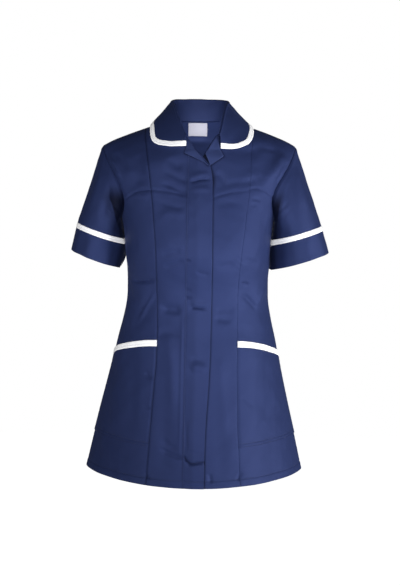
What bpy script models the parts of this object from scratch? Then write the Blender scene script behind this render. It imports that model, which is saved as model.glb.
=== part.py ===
"""A princess-seamed work tunic with short sleeves, filled out as when it is worn, in metres with +Z up.

The origin is midway between the high points of the shoulders. The front faces -Y, and the wearer's left is
+X. Every cloth piece is a thin closed wall on one shared form, which is worked out from the sizes below.
"""
from collections import namedtuple

import bpy
import numpy as np

# Driving sizes
LENGTH = 0.700  # high point of the shoulder to the hem
WALL = 0.0012  # one layer of cloth, with what is folded under it
SEAM_GAP = 0.0003  # between two pieces at a seam
MIDDLE = 0.005  # depth of the side seams and shoulder seams
SHOULDER_ROUND = 0.080  # drop over which front and back roll off the shoulder
SHOULDER_TILT = 0.012  # the wearer's left shoulder is a little higher
ARMPIT = 0.185  # drop of the armpit
WAIST = 0.330
MOUTH = 0.414  # drop of the pocket mouth at the princess seam
MOUTH_DROP = {-1: 0.042, 1: 0.045}  # how much lower the right and left mouths are at the side seam
POCKET_END = 0.624  # drop of the pocket's lower edge
BINDING = 0.010  # width of the white bindings on collar and sleeves
MOUTH_BINDING = 0.012
CUFF = 0.045
FLY_STITCH = -0.0190  # where the fly is sewn through
FLY_PROUD = 0.0010  # the fly's inner side stands this far off the form
FLY_WALL = 0.0020
COLLAR_WALL = 0.0016
BINDING_WALL = 0.0022
COLLAR_LIFT = 0.0036  # the collar's outer edge lies this far off the shoulders
SLEEVE_START = 0.0009  # the sleeve's wall starts this far out from the armhole
UNDERARM_START = 0.0024  # and this far sideways under the arm, where it hangs beside the body

# The body's sections: half widths on the wearer's right and left, and how deep front and back stand off the
# side seam. A power over 1 makes a section pointed at the side seam, and one under 1 makes it fuller.
Section = namedtuple("Section", "drop right left front back front_power back_power")
SECTIONS = [
    Section(0.045, 0.2030, 0.2030, 0.086, 0.086, 0.76, 0.80),
    Section(0.090, 0.1850, 0.1850, 0.100, 0.105, 0.75, 0.78),
    Section(0.120, 0.1700, 0.1700, 0.110, 0.114, 0.74, 0.76),
    Section(0.150, 0.1570, 0.1570, 0.120, 0.118, 0.72, 0.76),
    Section(0.185, 0.1500, 0.1500, 0.130, 0.118, 0.72, 0.78),
    Section(0.240, 0.1427, 0.1442, 0.139, 0.112, 0.74, 0.84),
    Section(0.320, 0.1372, 0.1416, 0.118, 0.097, 0.86, 0.90),
    Section(0.350, 0.1378, 0.1424, 0.116, 0.099, 0.90, 0.90),
    Section(0.390, 0.1455, 0.1492, 0.121, 0.108, 0.92, 0.92),
    Section(0.430, 0.1556, 0.1586, 0.128, 0.118, 0.98, 0.96),
    Section(0.490, 0.1685, 0.1702, 0.137, 0.129, 1.08, 1.02),
    Section(0.560, 0.1860, 0.1860, 0.145, 0.137, 1.20, 1.12),
    Section(0.630, 0.2030, 0.2030, 0.151, 0.143, 1.30, 1.20),
    Section(0.700, 0.2190, 0.2190, 0.156, 0.148, 1.38, 1.28),
]

# Height of the shoulder line, from the middle of the neck to the shoulder point
Ridge = namedtuple("Ridge", "side height")
RIDGE = [
    Ridge(0.000, 0.0200),
    Ridge(0.020, 0.0190),
    Ridge(0.040, 0.0150),
    Ridge(0.062, 0.0050),
    Ridge(0.074, -0.0005),
    Ridge(0.100, -0.0095),
    Ridge(0.143, -0.0250),
    Ridge(0.171, -0.0365),
    Ridge(0.200, -0.0530),
]

# The armhole seam in front and behind, and the princess seams of each side
Armhole = namedtuple("Armhole", "drop front back")
ARMHOLE = [
    Armhole(0.047, 0.1900, 0.1900),
    Armhole(0.070, 0.1800, 0.1830),
    Armhole(0.0975, 0.1638, 0.1720),
    Armhole(0.125, 0.1495, 0.1600),
    Armhole(0.1425, 0.1447, 0.1535),
    Armhole(0.165, 0.1452, 0.1495),
    Armhole(0.185, 0.1500, 0.1500),
]
# The free edge of the front that laps over
FlyEdge = namedtuple("FlyEdge", "drop x")
FLY_EDGE = [
    FlyEdge(0.073, 0.0222),
    FlyEdge(0.090, 0.0262),
    FlyEdge(0.130, 0.0278),
    FlyEdge(0.210, 0.0283),
    FlyEdge(0.330, 0.0288),
    FlyEdge(0.410, 0.0284),
    FlyEdge(0.470, 0.0272),
    FlyEdge(0.520, 0.0250),
    FlyEdge(0.560, 0.0226),
    FlyEdge(0.600, 0.0210),
    FlyEdge(0.700, 0.0205),
]
Princess = namedtuple("Princess", "drop right left")
PRINCESS = [
    Princess(0.010, 0.1045, 0.1040),
    Princess(0.120, 0.0905, 0.0985),
    Princess(0.200, 0.0825, 0.0900),
    Princess(0.300, 0.0776, 0.0810),
    Princess(0.420, 0.0752, 0.0808),
    Princess(0.588, 0.0862, 0.0851),
    Princess(0.700, 0.0935, 0.0915),
]

# The front's neck edge from the shoulder down to the overlap, for each front
NeckEdge = namedtuple("NeckEdge", "x z")
NECK_RIGHT = [
    NeckEdge(-0.0625, 0.0045),
    NeckEdge(-0.060, -0.0010),
    NeckEdge(-0.054, -0.0080),
    NeckEdge(-0.044, -0.0150),
    NeckEdge(-0.034, -0.0205),
    NeckEdge(-0.0225, -0.0225),
    NeckEdge(-0.0112, -0.0365),
    NeckEdge(-0.0020, -0.0490),
    NeckEdge(0.0085, -0.0585),
    NeckEdge(0.0222, -0.0735),
    NeckEdge(0.0285, -0.0800),
]
NECK_LEFT = [
    NeckEdge(-0.0120, -0.0840),
    NeckEdge(0.0110, -0.0527),
    NeckEdge(0.0225, -0.0330),
    NeckEdge(0.0350, -0.0170),
    NeckEdge(0.0450, -0.0140),
    NeckEdge(0.0510, -0.0100),
    NeckEdge(0.0560, -0.0050),
    NeckEdge(0.0600, 0.0010),
    NeckEdge(0.0625, 0.0060),
]
NECK_BACK = [
    NeckEdge(0.000, -0.0034),
    NeckEdge(0.020, -0.0028),
    NeckEdge(0.040, -0.0008),
    NeckEdge(0.056, 0.0026),
    NeckEdge(0.0625, 0.0047),
]

# Soft folds: a ridge, or with a negative height a trough, from one point of a face to another
Fold = namedtuple("Fold", "face x1 z1 x2 z2 width height")
FOLDS = [
    Fold("front", 0.150, -0.045, 0.108, -0.105, 0.016, -0.0035),
    Fold("front", 0.163, -0.060, 0.128, -0.110, 0.013, 0.0025),
    Fold("front", -0.140, -0.060, -0.120, -0.130, 0.018, -0.0020),
    Fold("front", -0.135, -0.300, -0.080, -0.302, 0.010, -0.0025),
    Fold("front", -0.078, -0.315, -0.120, -0.395, 0.014, -0.0030),
    Fold("front", -0.096, -0.325, -0.134, -0.395, 0.014, 0.0025),
    Fold("front", 0.088, -0.310, 0.118, -0.370, 0.013, -0.0030),
    Fold("front", 0.134, -0.300, 0.112, -0.365, 0.012, 0.0030),
    Fold("front", -0.160, -0.540, -0.172, -0.690, 0.020, -0.0030),
    Fold("front", 0.150, -0.560, 0.160, -0.690, 0.022, -0.0025),
    Fold("back", -0.110, -0.325, 0.110, -0.330, 0.014, -0.0030),
    Fold("back", -0.105, -0.350, -0.060, -0.368, 0.013, 0.0025),
    Fold("back", 0.060, -0.366, 0.112, -0.349, 0.013, 0.0025),
    Fold("back", -0.150, -0.130, -0.105, -0.200, 0.018, -0.0030),
    Fold("back", 0.150, -0.135, 0.104, -0.205, 0.018, -0.0030),
    Fold("back", -0.095, -0.520, -0.105, -0.690, 0.026, -0.0035),
    Fold("back", 0.090, -0.540, 0.102, -0.690, 0.026, -0.0035),
]

# Each sleeve's edges above and below the white band, as seen from the front
Sleeve = namedtuple("Sleeve", "name sign band_out_x band_out_z band_in_x band_in_z out_x out_z in_x in_z")
SLEEVES = [
    Sleeve("right", -1, 0.2374, -0.2000, 0.1425, -0.2322, 0.2502, -0.2547, 0.1545, -0.2905),
    Sleeve("left", 1, 0.2444, -0.1990, 0.1455, -0.2300, 0.2610, -0.2532, 0.1490, -0.2900),
]
SLEEVE_DEPTH = 0.060  # half of the sleeve's depth at the white band
CUFF_DEPTH = 0.058
SLEEVE_POWER = 0.94  # under 1 the section is squarer than an ellipse
SLEEVE_FULLNESS = 0.008
SLEEVE_CLEARANCE = 0.0036  # from the sleeve to the body's side
SLEEVE_FORWARD = 0.004  # the sleeves hang a little forward of the side seam
SLEEVE_PITCH = 0.095  # rise of the sleeve's rings towards the front

# The collar from its front end, at 0, to the middle of the back, at 1. Angles go round the shoulder line,
# from 90 in front through 0 on top to -90 behind.
Collar = namedtuple("Collar", "station neck_x neck_angle fold_x fold_y fold_z edge_x edge_angle")
COLLAR_RIGHT = [
    Collar(0.00, 0.0225, 61.0, 0.0245, -0.0750, -0.0170, 0.0245, 73.0),
    Collar(0.10, 0.0320, 58.5, 0.0275, -0.0675, -0.0110, 0.0360, 71.6),
    Collar(0.20, 0.0410, 53.0, 0.0325, -0.0575, -0.0010, 0.0520, 67.7),
    Collar(0.30, 0.0490, 44.0, 0.0378, -0.0455, 0.0105, 0.0670, 61.5),
    Collar(0.40, 0.0550, 33.0, 0.0420, -0.0320, 0.0210, 0.0815, 54.5),
    Collar(0.50, 0.0600, 22.0, 0.0465, -0.0120, 0.0325, 0.0915, 45.0),
    Collar(0.57, 0.0618, 12.0, 0.0485, 0.0010, 0.0360, 0.0948, 32.0),
    Collar(0.64, 0.0625, 0.0, 0.0508, 0.0140, 0.0380, 0.0957, 12.0),
    Collar(0.75, 0.0580, -19.0, 0.0532, 0.0340, 0.0405, 0.0910, -18.0),
    Collar(0.88, 0.0350, -39.5, 0.0400, 0.0620, 0.0410, 0.0550, -50.0),
    Collar(0.94, 0.0180, -43.8, 0.0205, 0.0700, 0.0410, 0.0285, -56.4),
    Collar(1.00, 0.0000, -45.0, 0.0000, 0.0720, 0.0410, 0.0000, -58.0),
]
COLLAR_LEFT = [
    Collar(0.00, 0.0385, 56.0, 0.0385, -0.0710, -0.0130, 0.0422, 73.5),
    Collar(0.10, 0.0440, 51.0, 0.0402, -0.0635, -0.0060, 0.0560, 69.5),
    Collar(0.20, 0.0490, 45.0, 0.0424, -0.0535, 0.0035, 0.0700, 64.5),
    Collar(0.30, 0.0530, 38.0, 0.0445, -0.0420, 0.0130, 0.0845, 57.5),
    Collar(0.40, 0.0565, 31.0, 0.0467, -0.0300, 0.0215, 0.0975, 48.5),
    Collar(0.50, 0.0600, 21.0, 0.0490, -0.0160, 0.0300, 0.1045, 34.0),
    Collar(0.57, 0.0618, 11.0, 0.0508, -0.0030, 0.0360, 0.1058, 21.0),
    Collar(0.64, 0.0625, 0.0, 0.0522, 0.0100, 0.0372, 0.1030, 6.0),
    Collar(0.75, 0.0580, -19.0, 0.0546, 0.0320, 0.0402, 0.0930, -20.0),
    Collar(0.88, 0.0350, -39.5, 0.0410, 0.0620, 0.0410, 0.0550, -50.0),
    Collar(0.94, 0.0180, -43.8, 0.0205, 0.0700, 0.0410, 0.0285, -56.4),
    Collar(1.00, 0.0000, -45.0, 0.0000, 0.0720, 0.0410, 0.0000, -58.0),
]
FOLD_WIDTH = 0.0042  # between the stand and the fall, just under the fold
STAND_DROP = 0.0026  # the stand ends and the fall starts this far below the top of the fold
FALL_DROP = 0.0030
FOLD_TOP = ((0.2, 0.0006), (0.62, 0.0002))  # shares of the fold's width, and how far below its top
FALL_FULLNESS = 0.0005
NECK_SEAM_LIFT = 0.0016  # the stand starts this far off the middle of the body's wall

# The turned-out corners of the facings: the rolled edge and the free edge, from top to bottom
Revers = namedtuple("Revers", "roll_x roll_z free_x free_z")
REVERS_RIGHT = [
    Revers(-0.0206, -0.0215, -0.0228, -0.0225),
    Revers(-0.0120, -0.0375, -0.0234, -0.0430),
    Revers(-0.0060, -0.0465, -0.0266, -0.0515),
    Revers(0.0050, -0.0575, -0.0080, -0.0585),
    Revers(0.0140, -0.0655, 0.0105, -0.0665),
    Revers(0.0196, -0.0728, 0.0176, -0.0738),
]
REVERS_LEFT = [
    Revers(0.0352, -0.0175, 0.0372, -0.0175),
    Revers(0.0232, -0.0335, 0.0374, -0.0330),
    Revers(0.0120, -0.0527, 0.0400, -0.0440),
    Revers(0.0170, -0.0615, 0.0475, -0.0563),
    Revers(0.0222, -0.0735, 0.0240, -0.0725),
]
REVERS_OVER_FLY = 0.0034
REVERS_OVER_FRONT = 0.0017
REVERS_WALL = 0.0014

LABEL_LEFT, LABEL_RIGHT = -0.022, 0.016
LABEL_TOP, LABEL_BOTTOM = -0.004, -0.032
LABEL_WALL = 0.0010
LABEL_OFF_BACK = 0.0016  # it hangs a little clear of the back

# Rows of the body's panels, as drops below the shoulder
SHOULDER_ROWS = [0.0, 0.0018, 0.0081, 0.0205, 0.040, 0.066, 0.090, 0.112, 0.134, 0.158]
CHEST_ROWS = list(np.linspace(ARMPIT, WAIST, 9)[:-1])
HIP_ROWS = list(np.linspace(WAIST, MOUTH, 5))
POCKET_ROWS = list(np.linspace(MOUTH + MOUTH_BINDING, POCKET_END, 9))
HEM_ROWS = list(np.linspace(POCKET_END, LENGTH, 5)[1:])
BODY_ROWS = SHOULDER_ROWS + CHEST_ROWS + HIP_ROWS + POCKET_ROWS + HEM_ROWS

COLOURS = {
    "navy": (0.028, 0.048, 0.150, 1.0),
    "white": (0.85, 0.86, 0.89, 1.0),
}


def column(table, name):
    return np.array([getattr(row, name) for row in table], dtype=float)


def curve(table, place, name, at):
    """A smooth curve through one column of a table."""
    knots = column(table, place)
    values = column(table, name)
    at = np.clip(np.asarray(at, dtype=float), knots[0], knots[-1])
    slopes = np.gradient(values, knots)
    i = np.clip(np.searchsorted(knots, at) - 1, 0, len(knots) - 2)
    step = knots[i + 1] - knots[i]
    t = (at - knots[i]) / step
    start = values[i] * (1 + 2 * t) * (1 - t) ** 2 + slopes[i] * step * t * (1 - t) ** 2
    end = values[i + 1] * t * t * (3 - 2 * t) + slopes[i + 1] * step * t * t * (t - 1)
    return start + end


def smooth_step(t):
    t = np.clip(t, 0, 1)
    return t * t * (3 - 2 * t)


def unit(vectors):
    length = np.linalg.norm(vectors, axis=-1, keepdims=True)
    return vectors / np.maximum(length, 1e-12)


def ridge(x):
    return curve(RIDGE, "side", "height", np.abs(x)) + SHOULDER_TILT * np.asarray(x)


def half_width(x, drop):
    """The body's half width on the side where x is."""
    right = curve(SECTIONS, "drop", "right", drop)
    left = curve(SECTIONS, "drop", "left", drop)
    return np.where(np.asarray(x) < 0, right, left)


def body_depth(x, z, face):
    """How far the front or back stands off the side seam at a width and a height."""
    drop = -np.asarray(z)
    half = half_width(x, drop)
    power = curve(SECTIONS, "drop", face + "_power", drop)
    roll = np.clip((ridge(x) - z) / SHOULDER_ROUND, 0, 1)
    roll_off = np.sqrt(np.maximum(1 - (1 - roll) ** 2, 0))
    across = np.maximum(1 - (np.asarray(x) / half) ** 2, 0) ** (power / 2)
    return curve(SECTIONS, "drop", face, drop) * roll_off * across


def fold_height(x, z, face):
    total = np.zeros_like(np.asarray(x, dtype=float))
    for fold in FOLDS:
        if fold.face != face:
            continue
        start = np.array([fold.x1, fold.z1])
        along = np.array([fold.x2, fold.z2]) - start
        length = np.linalg.norm(along)
        along = along / length
        u = ((x - start[0]) * along[0] + (z - start[1]) * along[1]) / length
        v = (x - start[0]) * along[1] - (z - start[1]) * along[0]
        ends = smooth_step((u + 0.25) / 0.5) * smooth_step((1.25 - u) / 0.5)
        total = total + fold.height * ends * np.exp(-((v / fold.width) ** 2))
    return total


def body_point(x, z, face):
    """Points of the front or back, given widths and heights."""
    side = -1 if face == "front" else 1
    depth = body_depth(x, z, face) + fold_height(x, z, face) * smooth_step(body_depth(x, z, face) / 0.03)
    depth = np.maximum(depth, 0.6 * SEAM_GAP)
    return np.stack([x, MIDDLE + side * depth, z], axis=-1)


def around_shoulder(x, angle):
    """Points at an angle round the shoulder line, and the direction straight out of the cloth there."""
    angle = np.radians(angle)
    z = ridge(x) - SHOULDER_ROUND * (1 - np.cos(angle))
    front = body_point(x, z, "front")
    back = body_point(x, z, "back")
    points = np.where(np.asarray(angle)[..., None] > 0, front, back)
    out = np.stack([0.25 * np.sin(4 * x), -np.sin(angle), np.cos(angle)], axis=-1)
    return points, unit(out)


def mouth_shift(sign, share, drop):
    """How much lower a row lies, so that rows follow the pocket mouth. share is 0 at the princess seam."""
    above = smooth_step((drop - WAIST) / (MOUTH - WAIST))
    below = np.clip((POCKET_END - drop) / (POCKET_END - MOUTH - MOUTH_BINDING), 0, 1)
    return MOUTH_DROP[sign] * np.clip(share, 0, 1) ** 1.45 * np.minimum(above, below)


def grid_normals(points, outward):
    """Unit normals of a grid of points, turned the way that outward points at its middle."""
    down = np.gradient(points, axis=0)
    across = np.gradient(points, axis=1)
    normals = unit(np.cross(across, down))
    middle = tuple(n // 2 for n in normals.shape[:2])
    if np.dot(normals[middle], outward) < 0:
        normals = -normals
    return normals


def wall_mesh(name, points, normals, inner, outer, closed=False):
    """A closed wall on a grid of points, from inner to outer metres along the normals.

    closed joins the grid's last column to its first.
    """
    rows, columns = points.shape[:2]
    inner = np.broadcast_to(inner, (rows, columns))[..., None]
    outer = np.broadcast_to(outer, (rows, columns))[..., None]
    layers = [points + normals * outer, points + normals * inner]
    vertices = np.concatenate([layer.reshape(-1, 3) for layer in layers])
    count = rows * columns

    def at(r, c, layer):
        return layer * count + r * columns + c % columns

    faces = []
    spans = columns if closed else columns - 1
    for r in range(rows - 1):
        for c in range(spans):
            faces.append((at(r, c, 0), at(r + 1, c, 0), at(r + 1, c + 1, 0), at(r, c + 1, 0)))
            faces.append((at(r, c, 1), at(r, c + 1, 1), at(r + 1, c + 1, 1), at(r + 1, c, 1)))
    for c in range(spans):
        faces.append((at(0, c, 0), at(0, c + 1, 0), at(0, c + 1, 1), at(0, c, 1)))
        faces.append((at(rows - 1, c, 0), at(rows - 1, c, 1), at(rows - 1, c + 1, 1), at(rows - 1, c + 1, 0)))
    if not closed:
        for r in range(rows - 1):
            faces.append((at(r, 0, 0), at(r, 0, 1), at(r + 1, 0, 1), at(r + 1, 0, 0)))
            last = columns - 1
            faces.append((at(r, last, 0), at(r + 1, last, 0), at(r + 1, last, 1), at(r, last, 1)))
    mesh = bpy.data.meshes.new(name)
    mesh.from_pydata(vertices.tolist(), [], faces)
    mesh.update()
    if signed_volume(mesh) < 0:
        mesh.flip_normals()
    return mesh


def signed_volume(mesh):
    mesh.calc_loop_triangles()
    places = np.array([vertex.co for vertex in mesh.vertices])
    corners = places[np.array([triangle.vertices for triangle in mesh.loop_triangles])]
    return float(np.einsum("ij,ij->i", corners[:, 0], np.cross(corners[:, 1], corners[:, 2])).sum() / 6)


def cloth(name):
    material = bpy.data.materials.get(name)
    if material:
        return material
    material = bpy.data.materials.new(name)
    material.use_nodes = True
    shader = material.node_tree.nodes["Principled BSDF"]
    shader.inputs["Base Color"].default_value = COLOURS[name]
    shader.inputs["Roughness"].default_value = 0.8
    shader.inputs["Metallic"].default_value = 0.0
    return material


def add_piece(name, colour, points, normals, inner=-WALL / 2, outer=WALL / 2, closed=False):
    mesh = wall_mesh(name, points, normals, inner, outer, closed)
    mesh.materials.append(cloth(colour))
    mesh.shade_smooth()
    mesh.set_sharp_from_angle(angle=0.7)
    piece = bpy.data.objects.new(name, mesh)
    bpy.context.scene.collection.objects.link(piece)
    return piece


def neck_edge(x, table):
    """The height of a panel's top edge: the neck edge near the middle, the shoulder line further out."""
    inside = curve(table, "x", "z", x)
    within = (x >= table[0].x) & (x <= table[-1].x)
    return np.where(within, inside, ridge(x))


def row_height(drop, top):
    """Rows follow the panel's top edge at the shoulder and are level from the armpit down."""
    return -drop + top * np.clip(1 - drop / ARMPIT, 0, 1)


def trim(edge, away):
    """Moves an edge half a seam gap back from a seam."""
    return edge + np.sign(away) * SEAM_GAP / 2


def centre_front(sign, table, overlap_shares, beyond, princess_name):
    """The points of a centre front, from its free edge at the middle to the princess seam.

    overlap_shares place the columns of the overlap, from 0 at the fly's stitching to 1 at its free edge, and
    beyond is one more column just past the overlap.
    """
    shares = np.linspace(0, 1, 7)[1:]
    points = []
    for drop in BODY_ROWS:
        seam = sign * curve(PRINCESS, "drop", princess_name, max(drop, 0.010))
        seam = trim(seam, -sign)
        level = drop
        for _ in range(4):
            edge = curve(FLY_EDGE, "drop", "x", level)
            level = -row_height(drop, neck_edge(edge, table))
        overlap = FLY_STITCH + (edge - FLY_STITCH) * overlap_shares
        last = overlap[-1] + sign * beyond
        x = np.concatenate([overlap, [last], last + (seam - last) * shares])
        z = row_height(drop, neck_edge(x, table))
        points.append(body_point(x, z, "front"))
    return np.array(points)


def side_point_row(sign, drop, start_x, edge_column, face, shares):
    """One row of a side panel, from a start width to the armhole or the side seam."""
    if drop < ARMPIT:
        edge_x = 0.19
        for _ in range(6):
            edge_z = row_height(drop, ridge(sign * edge_x))
            edge_x = curve(ARMHOLE, "drop", edge_column, -edge_z)
        half = half_width(sign, -edge_z)
        end_angle = np.arcsin(min(edge_x / half, 1.0))
        half_start = half_width(sign, -row_height(drop, ridge(start_x)))
    else:
        end_angle = np.pi / 2
        half_start = half_width(sign, drop)
    start_angle = np.arcsin(abs(start_x) / half_start)
    angles = start_angle + (end_angle - start_angle) * shares
    x = sign * half_start * np.sin(angles)
    for _ in range(5):
        z = row_height(drop, ridge(x)) - mouth_shift(sign, shares, drop)
        x = sign * half_width(sign, -z) * np.sin(angles)
    return x, z


def side_front(sign, princess_name):
    """The points of a side front, from the princess seam to the armhole and side seam."""
    shares = np.linspace(0, 1, 10) ** 0.94
    points = []
    for drop in BODY_ROWS:
        seam = sign * curve(PRINCESS, "drop", princess_name, max(drop, 0.010))
        x, z = side_point_row(sign, drop, trim(seam, sign), "front", "front", shares)
        points.append(body_point(x, z, "front"))
    return np.array(points)


def back_panel():
    """The points of the back, from one side seam to the other."""
    shares = np.linspace(0, 1, 8)[1:]
    centre = np.linspace(0, 0.060, 5)
    halves = []
    for sign in (-1, 1):
        rows = []
        for drop in BODY_ROWS:
            inner_x = sign * centre
            inner_z = row_height(drop, neck_edge(np.abs(inner_x), NECK_BACK) + SHOULDER_TILT * inner_x)
            x, z = side_point_row(sign, drop, sign * centre[-1], "back", "back", shares)
            rows.append(body_point(np.append(inner_x, x), np.append(inner_z, z), "back"))
        halves.append(np.array(rows))
    right, left = halves
    return np.concatenate([right[:, :0:-1], left], axis=1)


def flatten_at_seam_plane(points, normals):
    """Where front and back meet, both take the same normal, square to the seam."""
    at_seam = np.abs(points[..., 1] - MIDDLE) < 2 * SEAM_GAP
    flat = normals * np.array([1, 0, 1])
    normals[at_seam] = unit(flat[at_seam])
    return normals


def body_normals(points, outward_y):
    return flatten_at_seam_plane(points, grid_normals(points, np.array([0, outward_y, 0])))


def build_fronts():
    """The two centre fronts and the two side fronts."""
    points = centre_front(-1, NECK_RIGHT, np.array([1, 0.75, 0.45, 0.15, 0]), 0.004, "right")
    normals = body_normals(points, -1)
    inner = np.full(points.shape[1], -WALL / 2)
    outer = np.full(points.shape[1], WALL / 2)
    inner[:4] = FLY_PROUD
    outer[:4] = FLY_PROUD + FLY_WALL
    inner[4] = 0.0
    outer[4] = WALL * 1.4
    add_piece("front_centre_right", "navy", points, normals, inner, outer)

    points = centre_front(1, NECK_LEFT, np.array([0.2, 0.45, 0.75, 1]), 0.010, "left")
    add_piece("front_centre_left", "navy", points, body_normals(points, -1))

    sides = {}
    for sign, name in ((-1, "right"), (1, "left")):
        points = side_front(sign, name)
        normals = body_normals(points, -1)
        add_piece("front_side_" + name, "navy", points, normals)
        sides[name] = (points, normals)
    return sides


def build_back():
    points = back_panel()
    add_piece("back", "navy", points, body_normals(points, 1))


def row_index(drop):
    return int(np.argmin(np.abs(np.array(BODY_ROWS) - drop)))


def shorten(points, normals, first, last, cut):
    """The rows from first to last, with the first row moved down by a small cut."""
    part = points[first:last + 1].copy()
    part[0] += unit(part[1] - part[0]) * cut
    return part, normals[first:last + 1]


def build_pockets(sides):
    """Patch pockets and their mouth bindings, made from the side fronts' own points, moved out."""
    on_panel = WALL / 2 + SEAM_GAP
    mouth = row_index(MOUTH)
    under_binding = row_index(MOUTH + MOUTH_BINDING)
    end = row_index(POCKET_END)
    for name, (points, normals) in sides.items():
        panel, directions = shorten(points, normals, under_binding, end, SEAM_GAP)
        add_piece("pocket_" + name, "navy", panel, directions, on_panel, on_panel + WALL)
        band = points[mouth:under_binding + 1]
        add_piece("pocket_binding_" + name, "white", band, normals[mouth:under_binding + 1],
                  on_panel, on_panel + BINDING_WALL)


def armhole_loop(sign):
    """The armhole seam from the shoulder point down the front to the armpit and up the back."""
    loop = []
    for face in ("front", "back"):
        edge = []
        for drop in SHOULDER_ROWS + [ARMPIT]:
            x, z = side_point_row(sign, drop, sign * 0.10, face, face, np.array([0.0, 1.0]))
            edge.append(body_point(x[1:], z[1:], face)[0])
        loop.append(np.array(edge))
    front, back = loop
    top = (front[0] + back[0]) / 2
    bottom = (front[-1] + back[-1]) / 2
    return np.vstack([top, front[1:-1], bottom, back[-2:0:-1]])


def loop_angles(loop):
    """The angle of each armhole point round the sleeve: 0 at the shoulder, 180 under the arm."""
    half = len(loop) // 2
    front = np.vstack([loop[:half + 1]])
    back = np.vstack([loop[half:], loop[:1]])
    angles = []
    for part in (front, back):
        steps = np.linalg.norm(np.diff(part, axis=0), axis=1)
        angles.append(np.append(0, np.cumsum(steps)) / steps.sum() * np.pi)
    return np.append(angles[0], angles[1][1:-1] + np.pi)


def ring(sleeve, angles, out_x, out_z, in_x, in_z, depth):
    """A closed section of the sleeve, between its outer and inner edge."""
    outer = np.array([sleeve.sign * out_x, MIDDLE - SLEEVE_FORWARD, out_z])
    inner = np.array([sleeve.sign * in_x, MIDDLE - SLEEVE_FORWARD, in_z])
    cosine, sine = np.cos(angles), np.sin(angles)
    across = np.sign(cosine) * np.abs(cosine) ** SLEEVE_POWER
    along = np.sign(sine) * np.abs(sine) ** SLEEVE_POWER
    centre = (outer + inner) / 2
    forward = np.array([0, -depth, depth * SLEEVE_PITCH])
    return centre + across[:, None] * (outer - inner) / 2 + along[:, None] * forward


def clear_of_body(points, clearance):
    """Moves points that come too near the body's side straight out from it."""
    x, y, z = points[..., 0], points[..., 1], points[..., 2]
    drop = -z
    half = half_width(x, drop)
    limit = np.zeros_like(x)
    for face, side in (("front", -1), ("back", 1)):
        depth = curve(SECTIONS, "drop", face, drop)
        power = curve(SECTIONS, "drop", face + "_power", drop)
        share = np.clip(side * (y - MIDDLE) / depth, 0, 0.999)
        width = half * np.sqrt(1 - share ** (2 / power))
        limit = np.where(side * (y - MIDDLE) > 0, width, limit)
    room = np.abs(x) - limit - clearance
    pushed = np.where(room < 0, limit + clearance, np.abs(x))
    return np.stack([np.sign(x) * pushed, y, z], axis=-1)


def sleeve_grid(sleeve):
    """The points of a sleeve from its armhole to the top of the white band."""
    loop = armhole_loop(sleeve.sign)
    angles = loop_angles(loop)
    band = ring(sleeve, angles, sleeve.band_out_x, sleeve.band_out_z, sleeve.band_in_x, sleeve.band_in_z,
                SLEEVE_DEPTH)
    fullness = np.zeros_like(loop)
    fullness[:, 1] = -np.sin(angles) * SLEEVE_FULLNESS
    fullness[:, 0] = sleeve.sign * np.abs(np.sin(angles)) * SLEEVE_FULLNESS * 0.6
    rows = []
    for t in np.linspace(0, 1, 8):
        row = loop + (band - loop) * t + fullness * np.sin(np.pi * t ** 0.8)
        rows.append(clear_of_body(row, SLEEVE_CLEARANCE) if t else row)
    rows = np.array(rows)
    under = smooth_step(1.6 * (0.62 - np.abs(angles / np.pi - 1)))[:, None]
    start = unit(rows[1] - rows[0]) * SLEEVE_START
    aside = np.array([sleeve.sign * UNDERARM_START, 0, 0])
    rows[0] = rows[0] + start * (1 - under) + aside * under
    return rows, angles


def hem_rows(sleeve, angles, start, end):
    """Rows of the cuff and its band; start and end are distances below the band's top edge."""
    top = ring(sleeve, angles, sleeve.band_out_x, sleeve.band_out_z, sleeve.band_in_x, sleeve.band_in_z,
               SLEEVE_DEPTH)
    bottom = ring(sleeve, angles, sleeve.out_x, sleeve.out_z, sleeve.in_x, sleeve.in_z, CUFF_DEPTH)
    total = BINDING + CUFF
    count = 2 if end - start < 0.02 else 4
    rows = [clear_of_body(top + (bottom - top) * d / total, SLEEVE_CLEARANCE)
            for d in np.linspace(start, end, count)]
    return np.array(rows)


def ring_normals(points):
    """Outward normals of rows that close on themselves."""
    down = np.gradient(points, axis=0)
    across = np.roll(points, -1, axis=1) - np.roll(points, 1, axis=1)
    normals = unit(np.cross(across, down))
    outward = points - points.mean(axis=1, keepdims=True)
    if np.einsum("ijk,ijk->", normals, outward) < 0:
        normals = -normals
    return normals


def build_sleeves():
    for sleeve in SLEEVES:
        rows, angles = sleeve_grid(sleeve)
        add_piece("sleeve_" + sleeve.name, "navy", rows, ring_normals(rows), closed=True)
        band = hem_rows(sleeve, angles, SEAM_GAP, BINDING)
        add_piece("sleeve_binding_" + sleeve.name, "white", band, ring_normals(band),
                  -WALL / 2, WALL / 2 + 0.0008, closed=True)
        cuff = hem_rows(sleeve, angles, BINDING + SEAM_GAP, BINDING + CUFF)
        add_piece("cuff_" + sleeve.name, "navy", cuff, ring_normals(cuff), closed=True)


def collar_curves(stations):
    """Neck seam, fold and outer edge at stations that run from 0 at the right end to 2 at the left end."""
    neck, fold, edge = [], [], []
    for s in stations:
        table, sign, at = (COLLAR_RIGHT, -1, s) if s <= 1 else (COLLAR_LEFT, 1, 2 - s)
        value = {name: float(curve(table, "station", name, at)) for name in Collar._fields[1:]}
        seam, out = around_shoulder(sign * value["neck_x"], value["neck_angle"])
        neck.append(seam + out * NECK_SEAM_LIFT)
        fold.append([sign * value["fold_x"], value["fold_y"], value["fold_z"]])
        rim, out = around_shoulder(sign * value["edge_x"], value["edge_angle"])
        edge.append(rim + out * COLLAR_LIFT)
    return np.array(neck), np.array(fold), np.array(edge)


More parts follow.
